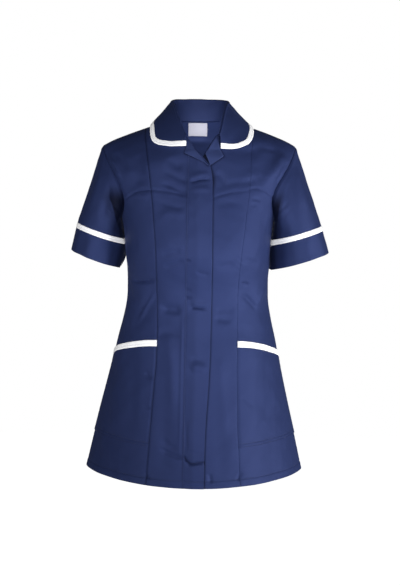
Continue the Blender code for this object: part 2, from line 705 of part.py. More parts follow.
def collar_rows(stations):
    """Rows of the collar from the neck seam up the stand, over the fold and down the fall."""
    neck, fold, edge = collar_curves(stations)
    level = unit((edge - fold) * np.array([1, 1, 0]))
    up = np.array([0, 0, 1.0])
    stand_top = fold - up * STAND_DROP
    fall_top = fold + level * FOLD_WIDTH - up * FALL_DROP
    rows = [neck + (stand_top - neck) * t for t in (0, 0.5, 1)]
    for share, drop in FOLD_TOP:
        rows.append(fold + level * FOLD_WIDTH * share - up * drop)
    length = np.linalg.norm(edge - fall_top, axis=1)
    across_edge = np.linalg.norm(np.cross(unit(edge - fall_top), unit(np.gradient(edge, axis=0))), axis=1)
    binding_start = 1 - BINDING / (length * across_edge)
    bulge = unit(level + up * 0.8) * FALL_FULLNESS

    def fall(t):
        return fall_top + (edge - fall_top) * t[:, None] + bulge * np.sin(np.pi * t ** 0.9)[:, None]

    for share in (0, 0.25, 0.5, 0.75, 1):
        rows.append(fall(binding_start * share - share * SEAM_GAP / length))
    band = [fall(binding_start), fall((1 + binding_start) / 2), fall(np.ones(len(stations)))]
    return np.array(rows), np.array(band)


def build_collar():
    right = np.linspace(0, 0.8, 12)
    stations = np.concatenate([right[:-1], np.linspace(0.8, 1.2, 9), 2 - right[-2::-1]])
    collar, band = collar_rows(stations)
    everything = np.concatenate([collar, band[1:]])
    normals = grid_normals(everything, np.array([0, 0, 0]))
    last = len(collar)
    middle = len(stations) // 2
    if normals[last - 1, middle, 1] < 0:
        normals = -normals
    add_piece("collar", "navy", collar, normals[:last], -COLLAR_WALL / 2, COLLAR_WALL / 2)
    add_piece("collar_binding", "white", band, normals[last - 1:], -BINDING_WALL / 2, BINDING_WALL / 2)


def build_revers():
    """The turned-out corners of the two facings, lying on the fronts."""
    sides = (("right", REVERS_RIGHT, REVERS_OVER_FLY), ("left", REVERS_LEFT, REVERS_OVER_FRONT))
    for name, table, inner in sides:
        rows = []
        for row in table:
            x = np.linspace(row.roll_x, row.free_x, 4)
            z = np.linspace(row.roll_z, row.free_z, 4)
            rows.append(body_point(x, z, "front"))
        points = np.array(rows)
        normals = grid_normals(points, np.array([0, -1, 0]))
        add_piece("revers_" + name, "navy", points, normals, inner, inner + REVERS_WALL)


def build_label():
    rows = []
    for z in np.linspace(LABEL_TOP, LABEL_BOTTOM, 3):
        x = np.linspace(LABEL_LEFT, LABEL_RIGHT, 4)
        rows.append(body_point(x, np.full(4, z), "back"))
    points = np.array(rows)
    normals = grid_normals(points, np.array([0, 1, 0]))
    add_piece("neck_label", "white", points, normals, -LABEL_OFF_BACK - LABEL_WALL, -LABEL_OFF_BACK)


def main():
    for item in list(bpy.data.objects):
        bpy.data.objects.remove(item, do_unlink=True)
    sides = build_fronts()
    build_back()
    build_pockets(sides)
    build_sleeves()
    build_collar()
    build_revers()
    build_label()


main()
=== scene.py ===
# Work tunic in navy twill with white bindings, filled out as when it is worn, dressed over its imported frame.
# Metres, +Z up, the front faces -Y and the wearer's left is +X.
import math

import bpy
import numpy as np
from mathutils import Matrix, Vector


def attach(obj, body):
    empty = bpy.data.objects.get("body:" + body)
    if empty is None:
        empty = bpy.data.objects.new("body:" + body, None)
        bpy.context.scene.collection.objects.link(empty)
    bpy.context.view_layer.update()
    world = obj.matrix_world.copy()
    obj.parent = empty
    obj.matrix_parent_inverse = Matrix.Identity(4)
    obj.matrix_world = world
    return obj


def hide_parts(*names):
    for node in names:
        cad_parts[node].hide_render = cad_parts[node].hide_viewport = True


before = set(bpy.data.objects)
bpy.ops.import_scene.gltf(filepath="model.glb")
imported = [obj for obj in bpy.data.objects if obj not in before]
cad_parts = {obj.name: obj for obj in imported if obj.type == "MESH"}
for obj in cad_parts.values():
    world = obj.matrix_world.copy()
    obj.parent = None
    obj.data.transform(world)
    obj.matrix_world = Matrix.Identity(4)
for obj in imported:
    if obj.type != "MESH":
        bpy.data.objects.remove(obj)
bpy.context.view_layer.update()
print("frame loaded:", len(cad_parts), "nodes")


# small tables and curves

def columns(names, *rows):
    # a short table, as one array for each named column
    return dict(zip(names.split(), np.array(rows, dtype=float).T))


def rowsOf(table):
    return [dict(zip(table, row)) for row in zip(*table.values())]


def smoothThrough(knots, values, at):
    # a smooth curve through a value, or a row of points, at each knot
    at = np.clip(np.asarray(at, dtype=float), knots[0], knots[-1])
    slopes = np.gradient(values, knots, axis=0)
    i = np.clip(np.searchsorted(knots, at) - 1, 0, len(knots) - 2)
    single = at.shape + (1,) * (values.ndim - 1)
    step = (knots[i + 1] - knots[i]).reshape(single)
    t = (at - knots[i]).reshape(single) / step
    start = values[i] * (1 + 2 * t) * (1 - t) ** 2 + slopes[i] * step * t * (1 - t) ** 2
    end = values[i + 1] * t * t * (3 - 2 * t) + slopes[i + 1] * step * t * t * (t - 1)
    return start + end


def through(table, place, name, at):
    return smoothThrough(table[place], table[name], at)


def smoothStep(t):
    t = np.clip(t, 0, 1)
    return t * t * (3 - 2 * t)


def bell(away, width):
    return np.exp(-((away / width) ** 2))


def lengths(vectors):
    return np.linalg.norm(vectors, axis=-1)


def unit(vectors):
    return vectors / np.maximum(np.linalg.norm(vectors, axis=-1, keepdims=True), 1e-12)


def spread(start, count, end):
    # shares from 0 to 1 in equal steps, with closer ones at the ends
    return np.concatenate([start, np.linspace(0, 1, count)[1:-1], end])


def awayFrom(path, spots):
    # how far each spot is from a path of straight steps, and how far along it the nearest place is, 0 to 1
    best = np.full(spots.shape[:-1], 1.0)
    at = np.zeros(spots.shape[:-1])
    for n, (a, b) in enumerate(zip(path[:-1], path[1:])):
        t = np.clip((spots - a) @ (b - a) / np.dot(b - a, b - a), 0, 1)
        away = lengths(spots - a - t[..., None] * (b - a))
        at = np.where(away < best, (n + t) / (len(path) - 1), at)
        best = np.minimum(best, away)
    return best, at


# the form that all cloth lies on, the same as the solids'

form = {
    "middle": 0.005,
    "shoulderRound": 0.080,
    "shoulderTilt": 0.012,
    "armpit": 0.185,
    "waist": 0.330,
    "mouth": 0.414,
    "mouthDrop": {-1: 0.042, 1: 0.045},
    "mouthBinding": 0.012,
    "pocketEnd": 0.624,
    "length": 0.700,
    "mouthCurve": 1.45,  # the mouth drops more the nearer it is to the side
    "wall": 0.0012,
    "softEdge": 0.45,  # how much of a wall is left at a rounded edge
    "seamGap": 0.0003,
    "foldFade": 0.03,  # broad folds fade out this near the side seam
    "sections": columns(
        "drop right left front back frontPower backPower",
        (0.045, 0.2030, 0.2030, 0.086, 0.086, 0.76, 0.80),
        (0.090, 0.1850, 0.1850, 0.100, 0.105, 0.75, 0.78),
        (0.120, 0.1700, 0.1700, 0.110, 0.114, 0.74, 0.76),
        (0.150, 0.1570, 0.1570, 0.120, 0.118, 0.72, 0.76),
        (0.185, 0.1500, 0.1500, 0.130, 0.118, 0.72, 0.78),
        (0.240, 0.1427, 0.1442, 0.139, 0.112, 0.74, 0.84),
        (0.320, 0.1372, 0.1416, 0.118, 0.097, 0.86, 0.90),
        (0.350, 0.1378, 0.1424, 0.116, 0.099, 0.90, 0.90),
        (0.390, 0.1455, 0.1492, 0.121, 0.108, 0.92, 0.92),
        (0.430, 0.1556, 0.1586, 0.128, 0.118, 0.98, 0.96),
        (0.490, 0.1685, 0.1702, 0.137, 0.129, 1.08, 1.02),
        (0.560, 0.1860, 0.1860, 0.145, 0.137, 1.20, 1.12),
        (0.630, 0.2030, 0.2030, 0.151, 0.143, 1.30, 1.20),
        (0.700, 0.2190, 0.2190, 0.156, 0.148, 1.38, 1.28)),
    "ridge": columns(
        "side height",
        (0.000, 0.0200), (0.020, 0.0190), (0.040, 0.0150), (0.062, 0.0050), (0.074, -0.0005),
        (0.100, -0.0095), (0.143, -0.0250), (0.171, -0.0365), (0.200, -0.0530)),
    "armhole": columns(
        "drop front back",
        (0.047, 0.1900, 0.1900), (0.070, 0.1800, 0.1830), (0.0975, 0.1638, 0.1720), (0.125, 0.1495, 0.1600),
        (0.1425, 0.1447, 0.1535), (0.165, 0.1452, 0.1495), (0.185, 0.1500, 0.1500)),
    "princess": columns(
        "drop right left",
        (0.010, 0.1045, 0.1040), (0.120, 0.0905, 0.0985), (0.200, 0.0825, 0.0900), (0.300, 0.0776, 0.0810),
        (0.420, 0.0752, 0.0808), (0.588, 0.0862, 0.0851), (0.700, 0.0935, 0.0915)),
    # broad soft folds, which the solids have too
    "frontFolds": columns(
        "x1 z1 x2 z2 width height",
        (0.150, -0.045, 0.108, -0.105, 0.016, -0.0035), (0.163, -0.060, 0.128, -0.110, 0.013, 0.0025),
        (-0.140, -0.060, -0.120, -0.130, 0.018, -0.0020), (-0.135, -0.300, -0.080, -0.302, 0.010, -0.0025),
        (-0.078, -0.315, -0.120, -0.395, 0.014, -0.0030), (-0.096, -0.325, -0.134, -0.395, 0.014, 0.0025),
        (0.088, -0.310, 0.118, -0.370, 0.013, -0.0030), (0.134, -0.300, 0.112, -0.365, 0.012, 0.0030),
        (-0.160, -0.540, -0.172, -0.690, 0.020, -0.0030), (0.150, -0.560, 0.160, -0.690, 0.022, -0.0025)),
    "backFolds": columns(
        "x1 z1 x2 z2 width height",
        (-0.110, -0.325, 0.110, -0.330, 0.014, -0.0030), (-0.105, -0.350, -0.060, -0.368, 0.013, 0.0025),
        (0.060, -0.366, 0.112, -0.349, 0.013, 0.0025), (-0.150, -0.130, -0.105, -0.200, 0.018, -0.0030),
        (0.150, -0.135, 0.104, -0.205, 0.018, -0.0030), (-0.095, -0.520, -0.105, -0.690, 0.026, -0.0035),
        (0.090, -0.540, 0.102, -0.690, 0.026, -0.0035)),
}


halfWall = form["wall"] / 2


def ridgeHeight(x):
    return through(form["ridge"], "side", "height", np.abs(x)) + form["shoulderTilt"] * np.asarray(x)


def halfWidth(x, drop):
    right = through(form["sections"], "drop", "right", drop)
    left = through(form["sections"], "drop", "left", drop)
    return np.where(np.asarray(x) < 0, right, left)


def bodyDepth(x, z, face):
    # how far the front or back stands off the side seam
    drop = -np.asarray(z)
    power = through(form["sections"], "drop", face + "Power", drop)
    roll = np.clip((ridgeHeight(x) - z) / form["shoulderRound"], 0, 1)
    rollOff = np.sqrt(np.maximum(1 - (1 - roll) ** 2, 0))
    across = np.maximum(1 - (np.asarray(x) / halfWidth(x, drop)) ** 2, 0) ** (power / 2)
    return through(form["sections"], "drop", face, drop) * rollOff * across


def foldHeight(x, z, face):
    total = np.zeros_like(np.asarray(x, dtype=float))
    for fold in rowsOf(form[face + "Folds"]):
        start = np.array([fold["x1"], fold["z1"]])
        along = np.array([fold["x2"], fold["z2"]]) - start
        length = np.linalg.norm(along)
        along = along / length
        u = ((x - start[0]) * along[0] + (z - start[1]) * along[1]) / length
        v = (x - start[0]) * along[1] - (z - start[1]) * along[0]
        ends = smoothStep((u + 0.25) / 0.5) * smoothStep((1.25 - u) / 0.5)  # fades out past its ends
        total = total + fold["height"] * ends * bell(v, fold["width"])
    return total


def bodyPoint(x, z, face):
    side = -1 if face == "front" else 1
    depth = bodyDepth(x, z, face)
    # the folds fade out at the side seam, where front and back keep their gap
    folded = depth + foldHeight(x, z, face) * smoothStep(depth / form["foldFade"])
    depth = np.maximum(folded, 0.6 * form["seamGap"])
    return np.stack([x, form["middle"] + side * depth, z], axis=-1)


def rowHeight(drop, top):
    # rows follow the top edge at the shoulder and are level from the armpit down
    return -drop + top * np.clip(1 - drop / form["armpit"], 0, 1)


# creases, ripples and seams, laid over the form along its normals

def creaseTable(*rows):
    # each crease runs through three points of a face, in millimetres; a negative depth is a trough
    return columns("x1 z1 x2 z2 x3 z3 width depth", *(np.array(rows) / 1000))


creases = {
    "gain": 2.7,  # all depths are times this
    "fade": 0.02,  # no creases at the side seam and the shoulder
    "front": creaseTable(
        # over the bust on both sides
        (-150, -160, -121, -129, -80, -124, 2.0, -0.55), (-112, -125, -62, -123, -12, -135, 2.2, -0.55),
        (20, -138, 62, -124, 112, -121.5, 2.2, -0.5), (84, -122, 125, -120, 152, -150, 2.0, -0.5),
        (-78, -106, -43, -117, -18, -132, 5.0, -1.0), (-70, -84, -40, -97, -16, -107, 6.0, -0.7),
        (-84, -138, -52, -150, -20, -152, 5.0, -0.5), (-76, -170, -50, -164, -22, -172, 7.0, 0.4),
        (-128, -136, -110, -134, -92, -137, 5.0, 0.5), (30, -152, 56, -143, 88, -146, 7.0, -0.5),
        (32, -116, 60, -108, 96, -102, 6.0, -0.5), (102, -140, 111, -137, 124, -143, 3.0, -0.5),
        (101, -151, 108, -148, 117, -152, 3.0, -0.4),
        # across the fly
        (-19, -98, 2, -92, 26, -91, 5.0, 0.5), (-19, -107, 2, -101, 28, -98.6, 3.0, -1.0),
        (-17, -122, 4, -118, 26, -119, 5.0, 0.4), (-15, -347.5, 5, -348.7, 27, -350.5, 2.6, -1.0),
        (-12, -339, 6, -340, 24, -343, 5.0, 0.7), (-22, -252.6, -18, -252.5, -11, -252.0, 2.4, -0.9),
        (-22, -313, -17, -313, -8, -314, 2.4, -0.9), (-22, -329, -17, -328, -6, -329, 2.6, -1.0),
        (-4, -272, 10, -276, 27, -282, 4.0, -0.6), (-10, -448, 5, -446, 24, -450, 6.0, -0.6),
        (-20, -634, -14, -644, -4, -652, 2.4, -1.5), (-14, -652, 5, -650, 24, -646, 3.0, -1.3),
        (-14, -624, 2, -627, 20, -630, 3.0, -0.4), (-17, -560, -15, -600, -16, -634, 2.6, -0.5),
        # below the bust and at the waist
        (-66, -270, -44, -260, -21, -250, 5.0, -0.8), (-70, -243, -50, -238, -26, -232, 7.0, -0.6),
        (-131, -306, -101, -303.5, -74, -295, 3.0, -1.3), (-74, -352, -52, -349, -24, -352, 8.0, -0.8),
        (86, -301, 94, -302.5, 104, -307, 2.6, -1.0), (-77, -316, -95, -351, -117, -395, 4.0, 0.8),
        (87, -321, 103, -339, 119, -360, 4.5, -0.9), (135, -316, 127, -333, 114, -354, 4.5, 0.8),
        (35, -356, 55, -352, 76, -356, 8.0, -0.7), (36, -268, 54, -262, 76, -262, 7.0, -0.5),
        (86, -250, 104, -258, 124, -272, 7.0, -0.6), (-80, -404, -52, -398, -26, -404, 8.0, -0.6),
        (-66, -352, -48, -356, -26, -354, 7.0, -1.0), (34, -372, 52, -370, 72, -377, 7.0, -1.0),
        # shoulders and upper chest
        (-176, -66, -160, -84, -150, -112, 4.0, 1.0), (-168, -58, -150, -70, -136, -96, 6.0, -0.8),
        (-118, -56, -112, -74, -104, -96, 7.0, -0.6), (176, -68, 161, -86, 150, -114, 4.0, -0.7),
        (112, -36, 132, -44, 156, -50, 5.0, -0.6), (-60, -60, -46, -72, -28, -80, 8.0, -0.6),
        (34, -84, 44, -96, 52, -112, 6.0, -0.8), (112, -98, 98, -104, 78, -106, 6.0, -0.5),
        (98, -34, 101, -62, 104, -96, 20.0, -1.5), (165, -52, 156, -76, 148, -104, 11.0, 1.1),
        (-128, -62, -118, -92, -108, -118, 12.0, -0.9),
        # skirt and pockets
        (-10, -468, 6, -462, 24, -470, 7.0, 1.0), (-60, -400, -44, -470, -48, -560, 12.0, 0.8),
        (40, -430, 52, -520, 58, -620, 12.0, 0.8), (-64, -600, -50, -616, -30, -622, 6.0, -0.8),
        (87, -523, 99, -530, 118, -550, 4.0, -0.5), (-70, -622, -42, -634, -19, -639, 4.0, -1.3),
        (-146, -430, -152, -520, -160, -640, 12.0, 0.5), (-118, -430, -121, -520, -128, -640, 10.0, -0.4),
        (136, -430, 142, -520, 150, -640, 12.0, -0.4), (112, -430, 114, -520, 120, -640, 10.0, 0.3),
        (-98, -478, -90, -486, -82, -488, 3.0, -0.9), (-100, -540, -92, -546, -84, -547, 3.0, -0.7),
        (-27, -330, -27, -500, -29, -680, 2.4, 0.4), (-56, -470, -58, -580, -62, -700, 14.0, -0.6),
        (48, -470, 50, -590, 54, -700, 14.0, -0.6), (-96, -672, -92, -680, -88, -690, 3.0, -0.9),
        (94, -668, 90, -678, 86, -690, 3.0, -0.8), (30, -668, 33, -680, 36, -692, 4.0, -1.0)),
    "back": creaseTable(
        (-108, -302, -20, -312, 84, -300, 5.0, -1.1), (-96, -338, -8, -346, 70, -340, 6.0, -1.0),
        (-118, -284, -70, -292, -30, -288, 6.0, -0.9), (36, -286, 76, -292, 120, -282, 6.0, -0.9),
        (-60, -372, 4, -380, 62, -374, 9.0, -0.8), (-128, -352, -104, -374, -80, -408, 6.0, 0.9),
        (128, -350, 106, -372, 82, -406, 6.0, 0.9), (-172, -80, -150, -106, -128, -150, 6.0, -1.0),
        (172, -82, 150, -108, 128, -152, 6.0, -1.0), (-142, -160, -118, -178, -88, -186, 6.0, -0.8),
        (142, -162, 116, -180, 90, -188, 6.0, -0.8), (-60, -36, -20, -44, 30, -42, 8.0, -0.7),
        (-50, -90, -8, -98, 46, -94, 12.0, -0.7), (-24, -470, -28, -560, -32, -670, 11.0, -1.0),
        (34, -480, 36, -570, 42, -672, 11.0, 1.0), (-150, -520, -160, -600, -172, -684, 9.0, -0.9),
        (150, -530, 160, -604, 170, -684, 9.0, 0.8), (-64, -500, -68, -600, -74, -686, 9.0, 0.9)),
    # on a sleeve x is the way round, from the shoulder's fold over the front, and z the way down its length
    "sleeve": creaseTable(
        (30, -20, 44, -70, 48, -150, 12.0, 1.0), (66, -20, 82, -70, 86, -170, 10.0, -1.0),
        (128, -34, 106, -58, 84, -66, 7.0, -0.9), (136, -62, 108, -84, 92, -100, 8.0, -0.8),
        (22, -24, 20, -80, 20, -170, 12.0, -0.6), (150, -30, 140, -90, 136, -186, 10.0, -4.6),
        (-44, -20, -58, -60, -60, -130, 9.0, 1.0), (-76, -34, -86, -70, -84, -140, 9.0, -1.1),
        (-112, -50, -98, -70, -92, -100, 7.0, -0.8), (-104, -110, -108, -140, -104, -176, 9.0, 0.7)),
}


def creaseRelief(x, z, face):
    # the height of all creases of one face at each point
    total = np.zeros_like(x)
    for crease in rowsOf(creases[face]):
        first, middle, last = (np.array([crease["x" + n], crease["z" + n]]) for n in "123")
        pull = 2 * middle - (first + last) / 2
        share = np.linspace(0, 1, 9)[:, None]
        path = first * (1 - share) ** 2 + 2 * pull * share * (1 - share) + last * share ** 2
        reach = 3 * crease["width"]
        near = (x > path[:, 0].min() - reach) & (x < path[:, 0].max() + reach)
        near &= (z > path[:, 1].min() - reach) & (z < path[:, 1].max() + reach)
        if near.any():
            away, at = awayFrom(path, np.stack([x[near], z[near]], axis=-1))
            ends = smoothStep(at / 0.3) * smoothStep((1 - at) / 0.3)
            total[near] += creases["gain"] * crease["depth"] * ends * bell(away, crease["width"])
    return total


def ripple(points, size, seed):
    # soft uneven waves of about this size through space, between about -1 and 1
    choose = np.random.default_rng(seed)
    total = np.zeros(points.shape[:-1])
    for _ in range(12):
        way = unit(choose.normal(size=3))
        turns = 2 * math.pi / (size * choose.uniform(0.7, 1.6))
        total += np.sin(points @ way * turns + choose.uniform(0, 6.3))
    return total / 4.5


uneven = {
    # the cloth is nowhere quite flat: the height, size and seed of its waves
    "body": ((0.00075, 0.060, 2), (0.00026, 0.022, 3)),
    "sleeve": ((0.0004, 0.045, 31), (0.00014, 0.016, 32)),
    "cuff": ((0.0004, 0.040, 41),),
    "collar": ((0.0003, 0.030, 52),),
    "fall": ((0.00055, 0.040, 51),),
}


def waves(points, piece):
    return sum(height * ripple(points, size, seed) for height, size, seed in uneven[piece])


def arcs(points):
    # how far each point of a grid is along its row, and down its column
    across = np.pad(np.cumsum(lengths(np.diff(points, axis=1)), axis=1), ((0, 0), (1, 0)))
    down = np.pad(np.cumsum(lengths(np.diff(points, axis=0)), axis=0), ((1, 0), (0, 0)))
    return across, down


def edgeDistances(points):
    across, down = arcs(points)
    return {"first": across, "last": across[:, -1:] - across, "top": down, "bottom": down[-1:] - down}


seams = {
    "dip": 0.0011,  # the cloth turns in at a seam
    "dipWidth": 0.0016,
    "pucker": 0.00020,
    "puckerReach": 0.009,
    "puckerLength": 0.011,
    "markWidth": 0.0013,
    "sewnMark": 0.16,
    "sewnWidth": 0.0008,
}


def seamRelief(points, edges):
    # the turned-in edge at a seam, with the little puckers that its sewing draws
    distances = edgeDistances(points)
    wander, strength = 3 * ripple(points, 0.06, 5), (1 + ripple(points, 0.05, 9)) / 2
    total = np.zeros(points.shape[:2])
    for number, (edge, share) in enumerate(edges.items()):
        away = distances[edge]
        along = distances["top" if edge in ("first", "last") else "first"]
        wave = np.sin(along * 2 * math.pi / seams["puckerLength"] + number * 2.0 + wander)
        total -= share * seams["dip"] * bell(away, seams["dipWidth"])
        total += seams["pucker"] * wave * bell(away, seams["puckerReach"]) * strength
    return total


def gridNormals(points, outward):
    down = np.gradient(points, axis=0)
    across = np.gradient(points, axis=1)
    normals = unit(np.cross(across, down))
    middle = tuple(n // 2 for n in normals.shape[:2])
    return -normals if np.dot(normals[middle], outward) < 0 else normals


def sideNormals(points, outwardY):
    # front and back take the same normal where they meet at the side seam and the shoulder
    normals = gridNormals(points, np.array([0, outwardY, 0]))
    atSeam = np.abs(points[..., 1] - form["middle"]) < 2 * form["seamGap"]
    normals[atSeam] = unit(normals * np.array([1, 0, 1]))[atSeam]
    return normals


def bodyCloth(points, face, edges):
    # a panel's points with its creases, and their normals
    outwardY = -1 if face == "front" else 1
    normals = sideNormals(points, outwardY)
    x, z = points[..., 0], points[..., 2]
    relief = creaseRelief(x, z, face) + waves(points, "body")
    fade = smoothStep(bodyDepth(x, z, face) / creases["fade"])
    points = points + normals * (relief * fade + seamRelief(points, edges))[..., None]
    return points, sideNormals(points, outwardY)


# making meshes

def quads(rowOf, columnOf, inside):
    # faces of four corners, each with a row, a column, and 1 on the inner side
    parts = [np.stack(np.broadcast_arrays(*part), axis=-1) for part in (rowOf, columnOf)]
    return np.stack(np.broadcast_arrays(*parts, inside))


def wallFaces(rows, count, closed):
    # all faces of a wall on a grid: outer side, inner side and rims
    spans = count if closed else count - 1
    rim, end = (0, 0, 1, 1), rows - 1
    r, c = (part.ravel() for part in np.meshgrid(np.arange(end), np.arange(spans), indexing="ij"))
    around = (r, r + 1, r + 1, r)
    made = [quads(around, (c, c, c + 1, c + 1), 0), quads(around, (c + 1, c + 1, c, c), 1)]
    c = np.arange(spans)
    made += [quads((0,) * 4, (c, c + 1, c + 1, c), rim), quads((end,) * 4, (c + 1, c, c, c + 1), rim)]
    if not closed:
        r = np.arange(end)
        made.append(quads((r + 1, r, r, r + 1), (0,) * 4, rim))
        made.append(quads((r, r + 1, r + 1, r), (count - 1,) * 4, rim))
    return np.concatenate(made, axis=1)


edgeCuts = {"top": np.s_[0, :], "bottom": np.s_[-1, :], "first": np.s_[:, 0], "last": np.s_[:, -1]}


def wallMesh(name, points, normals, walls, closed, softEdges):
    # a thin closed wall on a grid of points; closed joins its last column to its first
    rows, count = points.shape[:2]
    inner, outer, marks = walls
    middle = (inner + outer) / 2
    thin = np.ones((rows, count))
    for edge in softEdges:
        thin[edgeCuts[edge]] = form["softEdge"]
    outerGrid = points + normals * (middle + (outer - middle) * thin)[..., None]
    innerGrid = points + normals * (middle + (inner - middle) * thin)[..., None]
    vertices = np.concatenate([outerGrid.reshape(-1, 3), innerGrid.reshape(-1, 3)])
    rowOf, columnOf, inside = wallFaces(rows, count, closed)
    faces = rowOf * count + columnOf % count + inside * rows * count
    mesh = bpy.data.meshes.new(name)
    mesh.vertices.add(len(vertices))
    mesh.vertices.foreach_set("co", vertices.astype(np.float32).ravel())
    mesh.loops.add(faces.size)
    mesh.loops.foreach_set("vertex_index", faces.astype(np.int32).ravel())
    mesh.polygons.add(len(faces))
    mesh.polygons.foreach_set("loop_start", np.arange(0, faces.size, 4, dtype=np.int32))
    mesh.update(calc_edges=True)
    # the weave runs with the cloth: metres across and down the cut piece
    across, down = arcs(points)
    closing = lengths(points[:, 0] - points[:, -1]).mean()
    width, height = np.append(across.mean(axis=0), across[:, -1].mean() + closing), down.mean(axis=1)
    weave = np.stack([width[columnOf], height[rowOf]], axis=-1)
    mesh.uv_layers.new(name="weave").uv.foreach_set("vector", weave.astype(np.float32).ravel())
    # the marks for the shader: seam lines and painted shade above zero, painted highlights below zero
    attribute = mesh.attributes.new("seam", "FLOAT", "POINT")
    attribute.data.foreach_set("value", np.tile(marks.ravel(), 2).astype(np.float32))
    a, b, c, d = (vertices[faces[:, corner]] for corner in range(4))
    if np.sum(a * (np.cross(b, c) + np.cross(c, d))) < 0:
        mesh.flip_normals()
    mesh.validate()
    return mesh, outerGrid, innerGrid


def addPiece(name, mesh, finish, replaces=()):
    # a finish is a material and the slot that it belongs to; the slot is not used
    material, slot = finish
    mesh.materials.append(material)
    mesh.shade_smooth()
    piece = bpy.data.objects.new(name, mesh)
    bpy.context.scene.collection.objects.link(piece)
    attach(piece, "root")
    if replaces:
        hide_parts(*replaces)
    return piece


def declareCloth(piece, points, closed):
    # the size of the piece as it was cut, worked out from its own rows and columns
    across, down = arcs(points)
    closing = lengths(points[:, 0] - points[:, -1]) if closed else 0
    width, length = float((across[:, -1] + closing).max()), float(down[-1].max())
    a, b, c, d = points[:-1, :-1], points[1:, :-1], points[1:, 1:], points[:-1, 1:]
    area = (lengths(np.cross(b - a, c - a)) + lengths(np.cross(c - a, d - a))).sum() / 2
    area = float(min(area + np.mean(closing) * length, width * length))
    print(f"  {piece.name}: cut {width * 1000:.0f} x {length * 1000:.0f} mm, {area:.4f} square metres")


def seamLinesAndPaintedLight(points, edges, lines=(), others=0.0):
    # how dark each seam is, as its line and as painted shade, or how light where below zero, as a painted
    # highlight, fading over the cloth beside it; lines are rows of sewing, so far above the bottom edge
    distances = edgeDistances(points)
    marks = np.zeros(points.shape[:2]) + others
    for edge, strength in edges.items():
        line = strength * bell(distances[edge], seams["markWidth"])
        marks = np.where(np.abs(line) > np.abs(marks), line, marks)
    for line in lines:
        marks = np.maximum(marks, seams["sewnMark"] * bell(distances["bottom"] - line, seams["sewnWidth"]))
    return marks


def paintedShadowAlong(points, table, strength, width):
    # a painted shadow that lies along a free edge or a row of sewing
    away, _ = awayFrom(np.stack([table["freeX"], table["freeZ"]], axis=1), points[..., [0, 2]])
    return strength * bell(away, width)


allowance = {
    "wall": 0.00054,
    "edgeGap": 0.00025,  # it turns in beside its own edge, just short of the next piece
    "below": 0.00105,
    "width": 0.0018,
}


def turnIn(points, normals, walls, edge):
    # past its seam the cloth goes on, thin, under the piece beside it, so that no light comes through
    first = edge == "first"
    column, beside, pad = (0, 6, (2, 0)) if first else (-1, -7, (0, 2))
    facing = normals[:, beside]  # of the cloth past the seam's groove
    away = points[:, column] - points[:, beside]
    away = unit(away - facing * np.sum(away * facing, axis=-1, keepdims=True))
    bend = points[:, column] + away * allowance["edgeGap"] - facing * allowance["below"]
    end = bend + away * allowance["width"]
    extra = np.stack([end, bend] if first else [bend, end], axis=1)
    points = np.concatenate([extra, points] if first else [points, extra], axis=1)
    normals = np.pad(normals, ((0, 0), pad, (0, 0)), mode="edge")
    inner, outer, marks = (np.pad(wall, ((0, 0), pad), mode="edge") for wall in walls)
    thin = np.s_[:, :3] if first else np.s_[:, -3:]
    inner[thin], outer[thin] = -allowance["wall"] / 2, allowance["wall"] / 2
    return points, normals, (inner, outer, marks)


def cloth(name, points, normals, inner, outer, finish, closed=False, softEdges=(), marks=0.0, turned=()):
    # one cut piece, from inner to outer off its points, in place of the solid of that name
    shape = points.shape[:2]
    walls = [np.broadcast_to(wall, shape).astype(float) for wall in (inner, outer, marks)]
    cut = points
    for edge in turned:
        points, normals, walls = turnIn(points, normals, walls, edge)
    mesh, outerGrid, innerGrid = wallMesh(name, points, normals, walls, closed, softEdges)
    piece = addPiece(name + "_cloth", mesh, finish, [name])
    mesh.set_sharp_from_angle(angle=math.radians(50))
    declareCloth(piece, cut, closed)
    start = 2 if "first" in turned else 0
    own = np.s_[:, start:start + shape[1]]
    return outerGrid[own], innerGrid[own]


sewing = {
    "hem": 0.0150,  # above the hem
    "hemDoubled": 0.0005,
    "hemEdge": 0.002,
    "hemDrawn": 0.0003,
    "drawnWidth": 0.0010,
    "pocket": (0.0030, 0.0085),  # two rows above the pocket's lower edge
    "stitch": 0.0024,
    "between": 0.0007,
    "width": 0.00050,
    "height": 0.00034,
    "sunk": 0.4,  # the share of its height that a thread lies in the cloth
}


def resample(path, values, spots):
    # what belongs to a path's points, at other distances along it
    reach = np.append(0, np.cumsum(lengths(np.diff(path, axis=0))))
    return np.stack([np.interp(spots, reach, values[:, i]) for i in range(3)], axis=1)


def sew(name, path, normals, finish, closed=False):
    # a row of short threads along a path on the cloth
    if closed:
        path, normals = np.vstack([path, path[:1]]), np.vstack([normals, normals[:1]])
    pitch = sewing["stitch"] + sewing["between"]
    count = int(lengths(np.diff(path, axis=0)).sum() / pitch)
    starts = np.arange(count) * pitch + sewing["between"] / 2
    up = unit(resample(path, normals, starts + sewing["stitch"] / 2))
    a, b = resample(path, path, starts), resample(path, path, starts + sewing["stitch"])
    middle = (a + b) / 2
    side = unit(np.cross(b - a, up)) * sewing["width"] / 2
    lift = up * sewing["height"]
    ring = [middle + side, middle + lift, middle - side, middle - lift * sewing["sunk"]]
    vertices = np.stack([a, b, *ring], axis=1)
    # four faces from each end of a thread to the ring round its middle
    pattern = [(0, 2 + n, 2 + (n + 1) % 4) for n in range(4)]
    pattern += [(1, 2 + (n + 1) % 4, 2 + n) for n in range(4)]
    faces = np.array(pattern) + 6 * np.arange(count)[:, None, None]
    mesh = bpy.data.meshes.new(name)
    mesh.from_pydata(vertices.reshape(-1, 3).tolist(), [], faces.reshape(-1, 3).tolist())
    mesh.update()
    addPiece(name, mesh, finish)


# materials

